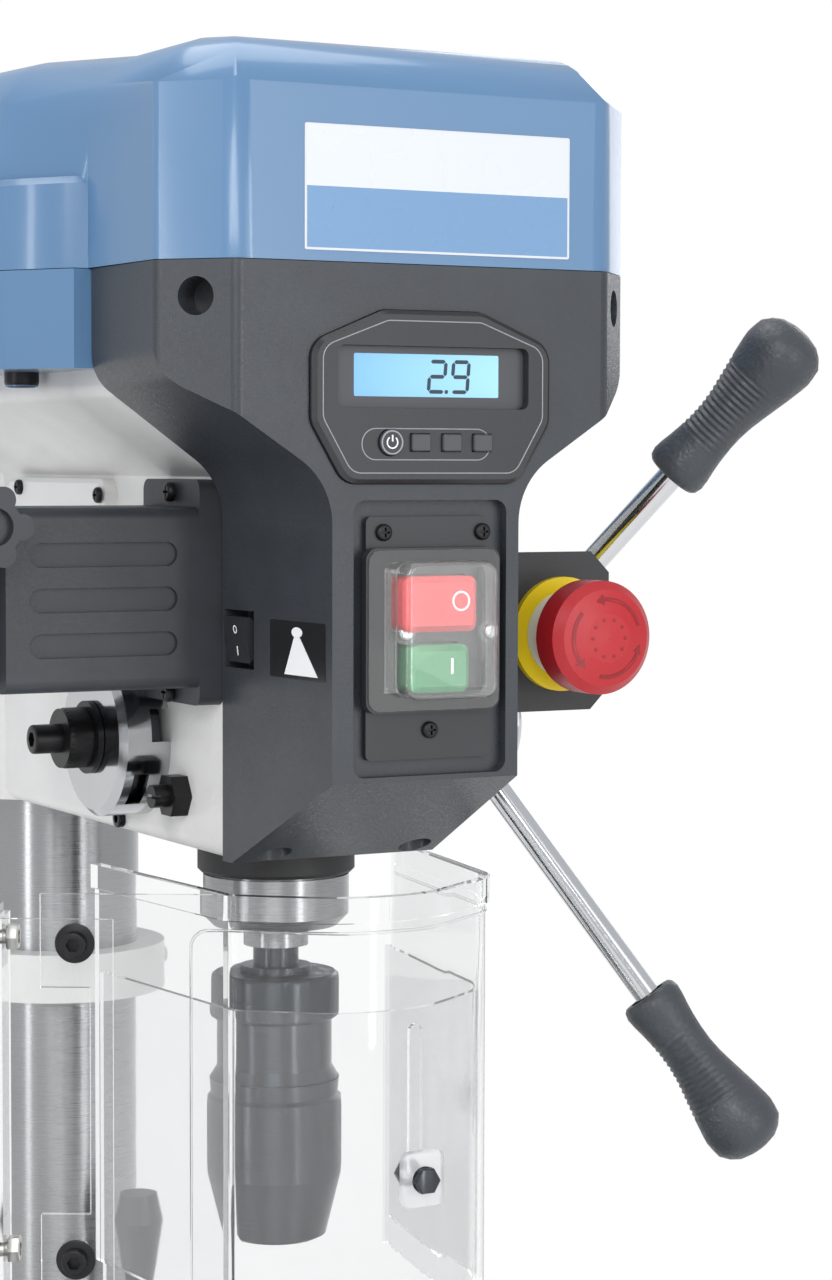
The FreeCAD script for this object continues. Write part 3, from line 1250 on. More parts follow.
def make_stop_bracket():
    y0 = SPINDLE_Y - ESTOP_PLATE_BACK - ESTOP_PLATE
    y1 = y0 + ESTOP_PLATE
    z0 = HEAD_Z + ESTOP_BOTTOM
    z1 = HEAD_Z + ESTOP_TOP
    left = waist_at(y0) + BODY_GAP
    c = ESTOP_CHAMFER
    plate = slab_xz([(left, z0), (ESTOP_RIGHT - c, z0), (ESTOP_RIGHT, z0 + c), (ESTOP_RIGHT, z1 - c),
                     (ESTOP_RIGHT - c, z1), (left, z1)], 0, y0, y1)
    end = y1 + ESTOP_FLANGE
    right = waist_at(end) + BODY_GAP
    flange = slab_xy([(left, y0), (left + ESTOP_PLATE, y0), (right + ESTOP_PLATE, end), (right, end)], 0, z0, z1)
    body = join([plate, flange])
    return body.cut(along_y(ESTOP_X, HEAD_Z + ESTOP_RISE, ESTOP_BARREL_RADIUS, y0 - OVERRUN, y1 + OVERRUN))


def make_stop_collar():
    y = SPINDLE_Y - ESTOP_PLATE_BACK - ESTOP_PLATE
    z = HEAD_Z + ESTOP_RISE
    start = vec(ESTOP_X, y - ESTOP_COLLAR, z)
    behind = ESTOP_COLLAR + ESTOP_PLATE
    inner = KNOB_STEM_RADIUS + RUN_GAP
    ring = revolve([(inner, 0), (ESTOP_COLLAR_RADIUS - OVERRUN, 0), (ESTOP_COLLAR_RADIUS, ESTOP_COLLAR - ESTOP_RING),
                    (ESTOP_RING_RADIUS, ESTOP_COLLAR - ESTOP_RING), (ESTOP_RING_RADIUS, ESTOP_COLLAR),
                    (ESTOP_BARREL_RADIUS, ESTOP_COLLAR), (ESTOP_BARREL_RADIUS, behind), (inner, behind)],
                   start, vec(0, 1, 0))
    half = ESTOP_BLOCK_HALF_WIDTH
    back = y + ESTOP_PLATE
    box = block(ESTOP_X - half, ESTOP_X + half, back, back + ESTOP_BLOCK, z - half, z + half)
    room = along_y(ESTOP_X, z, inner, back - OVERRUN, back + KNOB_TRAVEL + OVERRUN)
    return join([ring, box.cut(room)])


def make_emergency_knob():
    y = SPINDLE_Y - ESTOP_PLATE_BACK - ESTOP_PLATE
    gap = KNOB_TRAVEL + BODY_GAP
    back = ESTOP_COLLAR + gap
    face = back + KNOB_DEPTH
    start = vec(ESTOP_X, y, HEAD_Z + ESTOP_RISE)
    rim = KNOB_RADIUS - KNOB_CHAMFER
    return revolve([(0, 0), (KNOB_STEM_RADIUS, 0), (KNOB_STEM_RADIUS, back), (KNOB_RADIUS * KNOB_BACK_share, back),
                    (KNOB_RADIUS, back + KNOB_CHAMFER), (KNOB_RADIUS, face - KNOB_CHAMFER), (rim, face),
                    (rim / 2, face + KNOB_DOME * KNOB_DOME_share), (0, face + KNOB_DOME)], start, vec(0, -1, 0))


# Lamp switch and lamp
def make_lamp_rocker():
    y1 = SPINDLE_Y - ROCKER_BACK - ROCKER_INSET
    y0 = y1 - ROCKER_DEPTH_Y + 2 * ROCKER_INSET
    z0 = HEAD_Z + ROCKER_BOTTOM + ROCKER_INSET
    z1 = HEAD_Z + ROCKER_BOTTOM + ROCKER_HEIGHT - ROCKER_INSET
    middle = (z0 + z1) / 2
    face = -waist_at((y0 + y1) / 2)
    back = -WAIST_FRONT + ROCKER_SUNK - ROCKER_INSET
    points = [(back, middle - ROCKER_INSET), (back, middle + ROCKER_INSET), (face, z1),
              (face - ROCKER_PROUD, z1), (face - ROCKER_LIP, middle), (face, z0)]
    reach = ROCKER_INSET + ROCKER_PIN_HELD
    pin = along_y(back, middle, ROCKER_PIN_RADIUS, y0 - reach, y1 + reach)
    return join([slab_xz(points, 0, y0, y1), pin])


def rocker_axis():
    middle = HEAD_Z + ROCKER_BOTTOM + ROCKER_HEIGHT / 2
    return (-WAIST_FRONT + ROCKER_SUNK - ROCKER_INSET, middle)


def make_work_lamp():
    low = HEAD_Z + LAMP_RIM
    high = HEAD_Z + LAMP_BODY
    return turned([(0, low), (LAMP_RADIUS - LAMP_RIM, low), (LAMP_RADIUS, low + LAMP_RIM),
                   (LAMP_RADIUS, high), (0, high)], 0, SPINDLE_Y + LAMP_BEHIND)


# Belt housing: the fixed pan and the hinged lid
def housing_outline():
    half = [(FACE_HALF_WIDTH, -CASING_FRONT), (SHOULDER, -CASING_FRONT + FACET_DEPTH),
            (HOUSING_NECK_X, -HEAD_FRONT), (HOUSING_FLARE_X, HOUSING_FLARE_Y), (HOUSING_WIDE, HOUSING_WIDE_Y), (HOUSING_WIDE, HOUSING_TAIL_Y),
            (HOUSING_TAIL_X, HOUSING_TURN_Y), (HOUSING_END_X, HOUSING_END_Y)]
    return [(x, SPINDLE_Y + y) for x, y in mirrored(half)]


def housing_rounds(shrink):
    # Corner radii in the outline's order. The neck is a hollow corner, so it grows as the rest shrink.
    half = [HOUSING_FACE_ROUND - shrink, HOUSING_EDGE_ROUND - shrink, HOUSING_NECK_ROUND + shrink]
    half += [HOUSING_ROUND - shrink] * (len(housing_outline()) // 2 - len(half))
    return half + list(reversed(half))


def housing_solid(shrink, z0, z1):
    return slab_xy(inset(housing_outline(), shrink), housing_rounds(shrink), z0, z1)


def sloped_top(shrink, edge, z0, z1):
    # The housing's plan with a sloping band, as wide as it is high, round its top.
    points = inset(housing_outline(), shrink)
    crease = z1 - edge
    wires = []
    for outline, z in ((points, crease), (inset(points, edge), z1)):
        corners = [vec(x, y, z) for x, y in outline]
        wires.append(Part.makePolygon(corners + [corners[0]]))
    roof = Part.makeLoft(wires, True, True)
    return slab_xy(points, 0, z0, crease).fuse(roof).removeSplitter().common(housing_solid(shrink, z0, z1))


def behind_casing(z0, z1):
    y = SPINDLE_Y - HEAD_FRONT + BODY_GAP
    return block(-BASE_WIDTH, BASE_WIDTH, y, SPINDLE_Y + HOUSING_END_Y * 2, z0, z1)


def hinge_places():
    return [SPINDLE_Y + HINGE_FIRST_Y, SPINDLE_Y + HINGE_SECOND_Y]


def hinge_x():
    return -HOUSING_WIDE - RIM_STEP - HINGE_KNUCKLE_RADIUS - BODY_GAP


def make_belt_lid():
    low = SEAM_Z + BODY_GAP
    outer = sloped_top(0, LID_EDGE, low, LID_TOP)
    step = housing_solid(-RIM_STEP, low, low + RIM_HEIGHT).common(behind_casing(low, low + RIM_HEIGHT))
    ease = edges_at(step, lambda e: e.BoundBox.ZMin > low + RIM_HEIGHT - BODY_GAP)
    inner = sloped_top(LID_WALL, LID_EDGE - LID_WALL * (2 - math.sqrt(2)), low - OVERRUN, LID_TOP - LID_WALL)
    body = join([outer, step.makeChamfer(RIM_STEP * RIM_SLOPE_share, ease)]).cut(inner)
    z = SEAM_Z + HINGE_RISE
    knuckles = []
    for y in hinge_places():
        end = y + HINGE_LENGTH / 3
        knuckles.append(along_y(hinge_x(), z, HINGE_KNUCKLE_RADIUS, y - HINGE_LENGTH / 3, end))
        knuckles.append(block(hinge_x(), -HOUSING_WIDE - BODY_GAP, y - HINGE_LENGTH / 3, end, z,
                              z + HINGE_KNUCKLE_RADIUS))
    body = join([body] + knuckles)
    for y in hinge_places():
        body = body.cut(along_y(hinge_x(), z, HINGE_PIN_RADIUS + RUN_GAP, y - HINGE_LENGTH, y + HINGE_LENGTH))
    return body


def make_belt_pan():
    top = SEAM_Z
    outer = housing_solid(-RIM_STEP, PAN_Z, top).common(behind_casing(PAN_Z, top))
    inner = housing_solid(LID_WALL, PAN_Z + PAN_FLOOR, top + OVERRUN)
    walls = outer.cut(inner)
    ring_inner = housing_solid(-RIM_STEP + LID_WALL, PAN_Z + PAN_FLOOR, top - PAN_FLOOR)
    walls = walls.cut(ring_inner.cut(inner))
    tongue = slab_xy(inset(housing_outline(), PAN_TONGUE_INSET), 0, PAN_Z, PAN_Z + PAN_FLOOR)
    floor = outer.common(behind_casing(PAN_Z, PAN_Z + PAN_FLOOR))
    body = join([walls, tongue, floor])
    z = SEAM_Z + HINGE_RISE
    lugs = []
    for y in hinge_places():
        for start in (y - HINGE_LENGTH / 2 - BODY_GAP, y + HINGE_LENGTH / 3 + BODY_GAP):
            end = start + HINGE_LENGTH / 6
            lugs.append(along_y(hinge_x(), z, HINGE_KNUCKLE_RADIUS, start, end))
            lugs.append(block(hinge_x(), -HOUSING_WIDE - RIM_STEP, start, end, PAN_Z + PAN_HEIGHT / 2, z)
                        .common(block(-BASE_WIDTH, BASE_WIDTH, start, end, PAN_Z, SEAM_Z)))
            lugs.append(block(hinge_x() - HINGE_KNUCKLE_RADIUS, hinge_x(), start, end, PAN_Z + PAN_HEIGHT / 2, z))
        lugs.append(along_y(hinge_x(), z, HINGE_PIN_RADIUS, y - HINGE_LENGTH / 2 - BODY_GAP,
                            y + HINGE_LENGTH / 2 + BODY_GAP))
    bolt = along_z(PAN_BOLT_X, SPINDLE_Y + PAN_BOLT_Y, PAN_BOLT_HEAD_RADIUS, PAN_Z - PAN_BOLT_HEAD, PAN_Z)
    body = join([body, bolt] + lugs)
    cuts = [along_z(0, SPINDLE_Y, QUILL_RADIUS + CASING_WALL, PAN_Z - OVERRUN, PAN_Z + PAN_FLOOR + OVERRUN)]
    slot = rectangle(-MOTOR_SHAFT_RADIUS * 2, MOTOR_SHAFT_RADIUS * 2,
                     SPINDLE_Y + MOTOR_BEHIND - MOTOR_TRAVEL - MOTOR_SHAFT_RADIUS * 2,
                     SPINDLE_Y + MOTOR_BEHIND + MOTOR_SHAFT_RADIUS * 2)
    cuts.append(slab_xy(slot, MOTOR_SHAFT_RADIUS, PAN_Z - OVERRUN, PAN_Z + PAN_FLOOR + OVERRUN))
    cuts.append(along_z(IDLER_PIVOT_X, idler_pivot_y(), IDLER_PIVOT_RADIUS + BODY_GAP, PAN_Z - OVERRUN,
                        PAN_Z + PAN_FLOOR + OVERRUN))
    return carve(body, cuts)


# Pulleys, belts and the idler's arm
def groove_radii(shares):
    return [PULLEY_RADIUS * share for share in shares]


def groove_half(offset):
    # Half the width of a groove at a radial offset from its pitch circle.
    spread = (BELT_WIDTH - BELT_INNER_WIDTH) / 2 * (offset + BELT_SUNK) / BELT_THICK
    return BELT_INNER_WIDTH / 2 + spread + GROOVE_GAP


def pulley(shares, bore, x, y):
    # A stepped pulley with one V groove to each step, turned about its shaft.
    rim = BELT_THICK - BELT_SUNK
    low = -BELT_SUNK - GROOVE_GAP
    outline = [(bore, PULLEY_Z)]
    for k, pitch in enumerate(groove_radii(shares)):
        middle = PULLEY_Z + PULLEY_STEP * k + PULLEY_STEP / 2
        outline += [(pitch + rim, middle - PULLEY_STEP / 2), (pitch + rim, middle - groove_half(rim)),
                    (pitch + low, middle - groove_half(low)), (pitch + low, middle + groove_half(low)),
                    (pitch + rim, middle + groove_half(rim)), (pitch + rim, middle + PULLEY_STEP / 2)]
    outline.append((bore, pulley_top()))
    return turned(outline, x, y)


def pulley_top():
    return PULLEY_Z + PULLEY_STEP * PULLEY_GROOVES


def spline_ribs(reach, width, z0, z1):
    ribs = []
    for k in range(SPLINES):
        rib = block(0, reach, SPINDLE_Y - width / 2, SPINDLE_Y + width / 2, z0, z1)
        rib.rotate(vec(0, SPINDLE_Y, 0), vec(0, 0, 1), 360 * k / SPLINES)
        ribs.append(rib)
    return ribs


def make_spindle_pulley():
    bore = SPINDLE_SHAFT_RADIUS + RUN_GAP
    body = pulley(SPINDLE_GROOVES_share, bore, 0, SPINDLE_Y)
    low = PAN_Z + 2 * PAN_FLOOR
    neck = turned([(bore, low), (PULLEY_HUB_RADIUS, low), (PULLEY_HUB_RADIUS, PULLEY_Z), (bore, PULLEY_Z)],
                  0, SPINDLE_Y)
    ways = spline_ribs(SPINDLE_SHAFT_RADIUS + SPLINE_HEIGHT + BODY_GAP, SPLINE_WIDTH + BODY_GAP,
                       low - OVERRUN, pulley_top() + OVERRUN)
    return carve(join([body, neck]), ways)


def make_idler_pulley():
    return pulley(IDLER_GROOVES_share, IDLER_POST_RADIUS + RUN_GAP, 0, SPINDLE_Y + IDLER_BEHIND)


def idler_pivot_y():
    return SPINDLE_Y + IDLER_BEHIND - IDLER_PIVOT_AHEAD


def make_idler_arm():
    low = PAN_Z + PAN_FLOOR
    high = low + IDLER_ARM
    axle_y = SPINDLE_Y + IDLER_BEHIND
    pivot = (IDLER_PIVOT_X, idler_pivot_y())
    along = unit(pivot, (0, axle_y))
    side = (-along[1] * IDLER_ARM_RADIUS, along[0] * IDLER_ARM_RADIUS)
    web = slab_xy([(pivot[0] - side[0], pivot[1] - side[1]), (-side[0], axle_y - side[1]),
                   (side[0], axle_y + side[1]), (pivot[0] + side[0], pivot[1] + side[1])], 0, low, high)
    parts = [web, along_z(pivot[0], pivot[1], IDLER_ARM_RADIUS, low, high)]
    parts.append(along_z(0, axle_y, IDLER_ARM_RADIUS, low, high))
    parts.append(along_z(0, axle_y, IDLER_POST_RADIUS, low, pulley_top() + PULLEY_WALL))
    parts.append(along_z(pivot[0], pivot[1], IDLER_PIVOT_RADIUS, PAN_Z - IDLER_PIVOT_DEPTH, low))
    return join(parts)


def make_motor_pulley():
    y = SPINDLE_Y + MOTOR_BEHIND
    body = pulley(MOTOR_GROOVES_share, 0, 0, y)
    shaft = along_z(0, y, MOTOR_SHAFT_RADIUS, MOTOR_TOP - MOTOR_SHIELD, PULLEY_Z)
    return join([body, shaft])


def belt(level, front_share, rear_share, front_y, rear_y):
    # One V belt: its section swept along the pitch line, round both pulleys.
    front = PULLEY_RADIUS * front_share[level]
    rear = PULLEY_RADIUS * rear_share[level]
    z = PULLEY_Z + PULLEY_STEP * level + PULLEY_STEP / 2
    lean = math.asin((front - rear) / (rear_y - front_y))
    x = math.cos(lean)
    y = math.sin(lean)
    right = [vec(front * x, front_y + front * y, z), vec(rear * x, rear_y + rear * y, z)]
    left = [vec(-rear * x, rear_y + rear * y, z), vec(-front * x, front_y + front * y, z)]
    line = Part.Wire([Part.makeLine(right[0], right[1]),
                      Part.Arc(right[1], vec(0, rear_y + rear, z), left[0]).toShape(),
                      Part.makeLine(left[0], left[1]),
                      Part.Arc(left[1], vec(0, front_y - front, z), right[0]).toShape()])
    outward = vec(x, y, 0)
    low = right[0] - outward * BELT_SUNK
    high = right[0] + outward * (BELT_THICK - BELT_SUNK)
    rise = vec(0, 0, BELT_INNER_WIDTH / 2)
    wide = vec(0, 0, BELT_WIDTH / 2)
    section = Part.makePolygon([low - rise, high - wide, high + wide, low + rise, low - rise])
    return line.makePipeShell([section], True, True)


def make_drive_belts():
    idler_y = SPINDLE_Y + IDLER_BEHIND
    front = belt(FRONT_BELT_INDEX, SPINDLE_GROOVES_share, IDLER_GROOVES_share, SPINDLE_Y, idler_y)
    rear = belt(REAR_BELT_INDEX, IDLER_GROOVES_share, MOTOR_GROOVES_share, idler_y, SPINDLE_Y + MOTOR_BEHIND)
    return group([front, rear])


# Motor and its sliding plate
def make_motor():
    y = SPINDLE_Y + MOTOR_BEHIND
    low = MOTOR_TOP - MOTOR_HEIGHT
    core = MOTOR_RADIUS - MOTOR_RIB_HEIGHT
    parts = [turned([(0, MOTOR_TOP), (MOTOR_RADIUS, MOTOR_TOP), (MOTOR_RADIUS, MOTOR_TOP - MOTOR_SHIELD),
                     (core, MOTOR_TOP - MOTOR_SHIELD), (core, low + MOTOR_COWL), (MOTOR_RADIUS, low + MOTOR_COWL),
                     (MOTOR_RADIUS, low + MOTOR_COWL_ROUND), (MOTOR_RADIUS - MOTOR_COWL_ROUND, low), (0, low)], 0, y)]
    for k in range(MOTOR_RIBS):
        rib = block(core - MOTOR_RIB, MOTOR_RADIUS - MOTOR_RIB / 2, y - MOTOR_RIB / 2, y + MOTOR_RIB / 2,
                    low + MOTOR_COWL, MOTOR_TOP - MOTOR_SHIELD)
        rib.rotate(vec(0, y, 0), vec(0, 0, 1), 360 * (k + 0.5) / MOTOR_RIBS)
        parts.append(rib)
    middle = MOTOR_TOP - MOTOR_HEIGHT / 2
    outline = rectangle(y - TERMINAL_BOX_WIDTH / 2, y + TERMINAL_BOX_WIDTH / 2, middle - TERMINAL_BOX_HEIGHT / 2,
                        middle + TERMINAL_BOX_HEIGHT / 2)
    parts.append(slab_yz(outline, MOTOR_RIB_HEIGHT, core / 2, MOTOR_RADIUS + TERMINAL_BOX_DEPTH))
    bore = along_z(0, y, MOTOR_SHAFT_RADIUS + RUN_GAP, MOTOR_TOP - MOTOR_SHIELD - MOTOR_SHAFT_GAP,
                   MOTOR_TOP + OVERRUN)
    return join(parts).cut(bore)


def make_motor_plate():
    y0 = SPINDLE_Y + MOTOR_PLATE_FRONT
    y1 = SPINDLE_Y + MOTOR_PLATE_BACK
    half = MOTOR_PLATE_HALF_WIDTH
    parts = [slab_xy(rectangle(-half, half, y0, y1), MOTOR_PLATE_ROUND, MOTOR_TOP, MOTOR_TOP + MOTOR_PLATE)]
    for x in (-SLIDE_BAR_X, SLIDE_BAR_X):
        parts.append(along_y(x, SLIDE_BAR_Z, SLIDE_BAR_RADIUS, y0 - SLIDE_BAR_AHEAD,
                             y0 + SLIDE_BAR_HELD))
    opening = along_z(0, SPINDLE_Y + MOTOR_BEHIND, 2 * MOTOR_SHAFT_RADIUS, MOTOR_TOP - OVERRUN,
                      MOTOR_TOP + MOTOR_PLATE + OVERRUN)
    return join(parts).cut(opening)


# Quill, spindle and bearings
def quill_top():
    return QUILL_NOSE_Z + QUILL_LENGTH


def make_quill():
    low = QUILL_NOSE_Z
    flange_top = low + QUILL_FLANGE
    bore = SPINDLE_LOWER_RADIUS + BODY_GAP
    lower_seat = low + QUILL_SEAT_START
    upper_seat = quill_top() - QUILL_SEAT_DEPTH
    body = turned([(bore, low), (QUILL_FLANGE_RADIUS - QUILL_CHAMFER, low),
                   (QUILL_FLANGE_RADIUS, low + QUILL_CHAMFER), (QUILL_FLANGE_RADIUS, flange_top),
                   (QUILL_RADIUS, flange_top), (QUILL_RADIUS, quill_top()), (QUILL_SEAT_RADIUS, quill_top()),
                   (QUILL_SEAT_RADIUS, upper_seat), (QUILL_BORE, upper_seat),
                   (QUILL_BORE, lower_seat + QUILL_SEAT_DEPTH), (QUILL_SEAT_RADIUS, lower_seat + QUILL_SEAT_DEPTH),
                   (QUILL_SEAT_RADIUS, lower_seat), (bore, lower_seat)], 0, SPINDLE_Y)
    pitch_y = FEED_Y - FEED_PINION_RADIUS
    rack_low = low + QUILL_FLANGE + QUILL_SEAT_DEPTH
    rack_top = FEED_Z + QUILL_TRAVEL + QUILL_RACK_RUN_OUT
    inner = SPINDLE_Y + QUILL_SEAT_RADIUS
    half = FEED_PINION_HALF_WIDTH + BODY_GAP
    teeth = rack_points(inner, pitch_y, 1, FEED_MODULE, rack_low - FEED_MODULE, rack_top + FEED_MODULE, FEED_Z)
    room = block(-half, half, inner, SPINDLE_Y + 2 * QUILL_RADIUS, rack_low, rack_top)
    body = body.cut(room.cut(slab_yz(teeth, 0, -half - OVERRUN, half + OVERRUN)))
    guide_y = SPINDLE_Y + GUIDE_SCREW_Y
    guide_z = HEAD_Z + GUIDE_SCREW_RISE
    keyway = block(-QUILL_RADIUS - OVERRUN, -QUILL_RADIUS + QUILL_KEYWAY_DEPTH, guide_y - QUILL_KEYWAY / 2,
                   guide_y + QUILL_KEYWAY / 2, guide_z - QUILL_KEYWAY, guide_z + QUILL_TRAVEL + QUILL_KEYWAY)
    return body.cut(keyway)


def make_quill_bearings():
    lower = QUILL_NOSE_Z + QUILL_SEAT_START
    upper = quill_top() - QUILL_SEAT_DEPTH
    rings = []
    for inner, low in ((SPINDLE_LOWER_RADIUS, lower), (SPINDLE_SHAFT_RADIUS, upper)):
        high = low + QUILL_SEAT_DEPTH
        rings.append(turned([(inner + RUN_GAP, low), (QUILL_SEAT_RADIUS, low), (QUILL_SEAT_RADIUS, high),
                             (inner + RUN_GAP, high)], 0, SPINDLE_Y))
    return group(rings)


def make_rubber_ring():
    low = HEAD_Z - RUBBER_RING
    inner = QUILL_FLANGE_RADIUS + BODY_GAP
    return turned([(inner, low), (RUBBER_RING_RADIUS - RUBBER_RING_EDGE, low),
                   (RUBBER_RING_RADIUS, low + RUBBER_RING_EDGE), (RUBBER_RING_RADIUS, HEAD_Z), (inner, HEAD_Z)],
                  0, SPINDLE_Y)


def make_spindle():
    low = QUILL_NOSE_Z - SPINDLE_NOSE
    shoulder = low + SPINDLE_LOWER
    top = pulley_top() + SPINDLE_ABOVE
    body = turned([(SOCKET_MOUTH_RADIUS, low), (SPINDLE_LOWER_RADIUS, low), (SPINDLE_LOWER_RADIUS, shoulder),
                   (SPINDLE_SHAFT_RADIUS, shoulder), (SPINDLE_SHAFT_RADIUS, top), (0, top), (0, low + SOCKET_DEPTH),
                   (SOCKET_END_RADIUS, low + SOCKET_DEPTH)], 0, SPINDLE_Y)
    ribs = spline_ribs(SPINDLE_SHAFT_RADIUS + SPLINE_HEIGHT, SPLINE_WIDTH, quill_top() + BODY_GAP, top)
    return join([body] + ribs)


# Keyless chuck
def jaw_axis(k):
    # Where a jaw's axis meets the mouth plane, its direction and its turn about the spindle.
    turn = 2 * math.pi * k / JAWS + math.radians(JAW_FIRST)
    lean = math.radians(JAW_ANGLE)
    direction = vec(math.sin(lean) * math.cos(turn), math.sin(lean) * math.sin(turn), math.cos(lean))
    start = vec(JAW_RADIUS * math.cos(turn), SPINDLE_Y + JAW_RADIUS * math.sin(turn), CHUCK_Z)
    return start, direction, turn


def make_jaw(k):
    # A round rod on a lean, ground flat at the tip and where it would meet its neighbours.
    start, direction, turn = jaw_axis(k)
    rod = cylinder(start - direction * JAW_RADIUS, direction, JAW_RADIUS, JAW_LENGTH)
    room = Part.makeCylinder(CHUCK_SLEEVE_RADIUS, 2 * JAW_LENGTH, vec(0, 0, 0), vec(0, 0, 1), 360 / JAWS)
    room.rotate(vec(0, 0, 0), vec(0, 0, 1), math.degrees(turn) - 180 / JAWS)
    out = vec(math.cos(turn) * BODY_GAP, math.sin(turn) * BODY_GAP, 0)
    return rod.common(room.translated(vec(0, SPINDLE_Y, CHUCK_Z) + out))


def make_chuck_body():
    z = CHUCK_Z
    edge = CHUCK_EDGE
    ring_low = z + CHUCK_RING_LOW
    step = z + CHUCK_SLEEVE_TOP + BODY_GAP
    nose = QUILL_NOSE_Z - SPINDLE_NOSE
    tip = nose + SOCKET_DEPTH - OVERRUN
    body = turned([(0, z + CHUCK_CORE_MOUTH), (CHUCK_MOUTH_RADIUS - 2 * edge, z + CHUCK_CORE_MOUTH),
                   (CHUCK_CORE_RADIUS, z + CHUCK_SLEEVE_LOW), (CHUCK_CORE_RADIUS, step), (CHUCK_RING_RADIUS, step),
                   (CHUCK_BODY_RADIUS, step + CHUCK_STEP), (CHUCK_BODY_RADIUS, ring_low),
                   (CHUCK_RING_RADIUS - edge, ring_low), (CHUCK_RING_RADIUS, ring_low + edge),
                   (CHUCK_RING_RADIUS, CHUCK_TOP - edge), (CHUCK_RING_RADIUS - edge, CHUCK_TOP),
                   (CHUCK_INNER_RING_RADIUS, CHUCK_TOP), (CHUCK_INNER_RING_RADIUS, CHUCK_TOP + CHUCK_INNER_RING),
                   (ARBOR_RADIUS, CHUCK_TOP + CHUCK_INNER_RING), (ARBOR_RADIUS, nose - RUN_GAP),
                   (SOCKET_MOUTH_RADIUS, nose - RUN_GAP), (SOCKET_MOUTH_RADIUS, nose), (SOCKET_END_RADIUS, tip),
                   (0, tip)], 0, SPINDLE_Y)
    cuts = [along_z(0, SPINDLE_Y, 2 * JAW_RADIUS, z, z + CHUCK_SLEEVE_LOW)]
    for k in range(JAWS):
        start, direction, turn = jaw_axis(k)
        cuts.append(cylinder(start - direction * JAW_LENGTH, direction, JAW_RADIUS + RUN_GAP,
                             2 * JAW_LENGTH + JAW_TRAVEL))
    return carve(body, cuts)


def make_chuck_sleeve():
    z = CHUCK_Z
    edge = CHUCK_SLEEVE_EDGE
    bore = CHUCK_CORE_RADIUS + BODY_GAP
    mouth = CHUCK_MOUTH_RADIUS - edge
    return turned([(mouth, z + edge / 2), (CHUCK_MOUTH_RADIUS - edge / 2, z + edge / 2),
                   (CHUCK_MOUTH_RADIUS + edge / 2, z + edge), (CHUCK_SLEEVE_RADIUS, z + CHUCK_SLEEVE_LOW),
                   (CHUCK_SLEEVE_RADIUS, z + CHUCK_SLEEVE_HIGH),
                   (CHUCK_SLEEVE_RADIUS - edge / 2, z + CHUCK_SLEEVE_HIGH + edge / 2),
                   (CHUCK_SLEEVE_TOP_RADIUS, z + CHUCK_SLEEVE_TOP), (bore, z + CHUCK_SLEEVE_TOP),
                   (bore, z + CHUCK_SLEEVE_HIGH), (CHUCK_RELIEF_RADIUS, z + CHUCK_SLEEVE_HIGH),
                   (CHUCK_RELIEF_RADIUS, z + CHUCK_SLEEVE_LOW), (mouth, z + CHUCK_CORE_MOUTH - 2 * BODY_GAP)], 0, SPINDLE_Y)


# Feed shaft, hub, levers and grips
def make_feed_shaft():
    teeth = gear_points(FEED_TEETH, FEED_MODULE, math.pi)
    half = FEED_PINION_HALF_WIDTH
    gear = slab_yz([(FEED_Y + y, FEED_Z + z) for y, z in teeth], 0, -half, half)
    shoulder = -HEAD_HALF_WIDTH - CAP_DEPTH + CAP_WALL + BODY_GAP
    shaft = along_x(FEED_Y, FEED_Z, FEED_SHAFT_RADIUS, shoulder, hub_start())
    stud = along_x(FEED_Y, FEED_Z, CAP_STUD_RADIUS, nut_face(), shoulder)
    return join([gear, shaft, stud])


def hub_start():
    return HEAD_HALF_WIDTH + FEED_BOSS + BODY_GAP


def nut_face():
    return -HEAD_HALF_WIDTH - CAP_DEPTH - BODY_GAP - CAP_WASHER - CAP_NUT


def make_feed_hub():
    c = FEED_HUB_CHAMFER
    start = hub_start()
    dial = start + FEED_DIAL
    hub = revolve([(0, start), (FEED_DIAL_RADIUS, start), (FEED_DIAL_RADIUS, dial), (FEED_NECK_RADIUS, dial),
                   (FEED_NECK_RADIUS, FEED_HUB_SHOULDER - c), (FEED_HUB_RADIUS, FEED_HUB_SHOULDER),
                   (FEED_HUB_RADIUS, FEED_HUB_END - c), (FEED_HUB_RADIUS - c, FEED_HUB_END), (0, FEED_HUB_END)],
                  vec(0, FEED_Y, FEED_Z), vec(1, 0, 0))
    return carve(hub, [lever_piece(k, LEVER_START, 2 * FEED_HUB_RADIUS) for k in range(LEVERS)])


def lever_direction(k):
    cone = math.radians(LEVER_CONE)
    turn = math.radians(LEVER_FIRST) + 2 * math.pi * k / LEVERS
    return vec(math.cos(cone), math.sin(cone) * math.cos(turn), math.sin(cone) * math.sin(turn))


def lever_point(k, reach):
    return vec(LEVER_APEX, FEED_Y, FEED_Z) + lever_direction(k) * reach


def lever_piece(k, start, end):
    return cylinder(lever_point(k, start), lever_direction(k), LEVER_RADIUS, end - start)


def make_lever_rods():
    return group([lever_piece(k, LEVER_START, LEVER_END) for k in range(LEVERS)])


def make_lever_grips():
    radii = [GRIP_NECK_RADIUS, GRIP_COLLAR_RADIUS, GRIP_WAIST_RADIUS, GRIP_WAIST_RADIUS, GRIP_SADDLE_RADIUS,
             GRIP_BELLY_RADIUS, GRIP_SHOULDER_RADIUS, GRIP_END_RADIUS, GRIP_END_RADIUS / 2]
    profile = [(LEVER_RADIUS, 0)] + [(r, GRIP_LENGTH * share) for r, share in zip(radii, GRIP_PLACES_share)]
    profile += [(0, GRIP_LENGTH), (0, LEVER_END - GRIP_START), (LEVER_RADIUS, LEVER_END - GRIP_START)]
    return group([revolve(profile, lever_point(k, GRIP_START), lever_direction(k)) for k in range(LEVERS)])


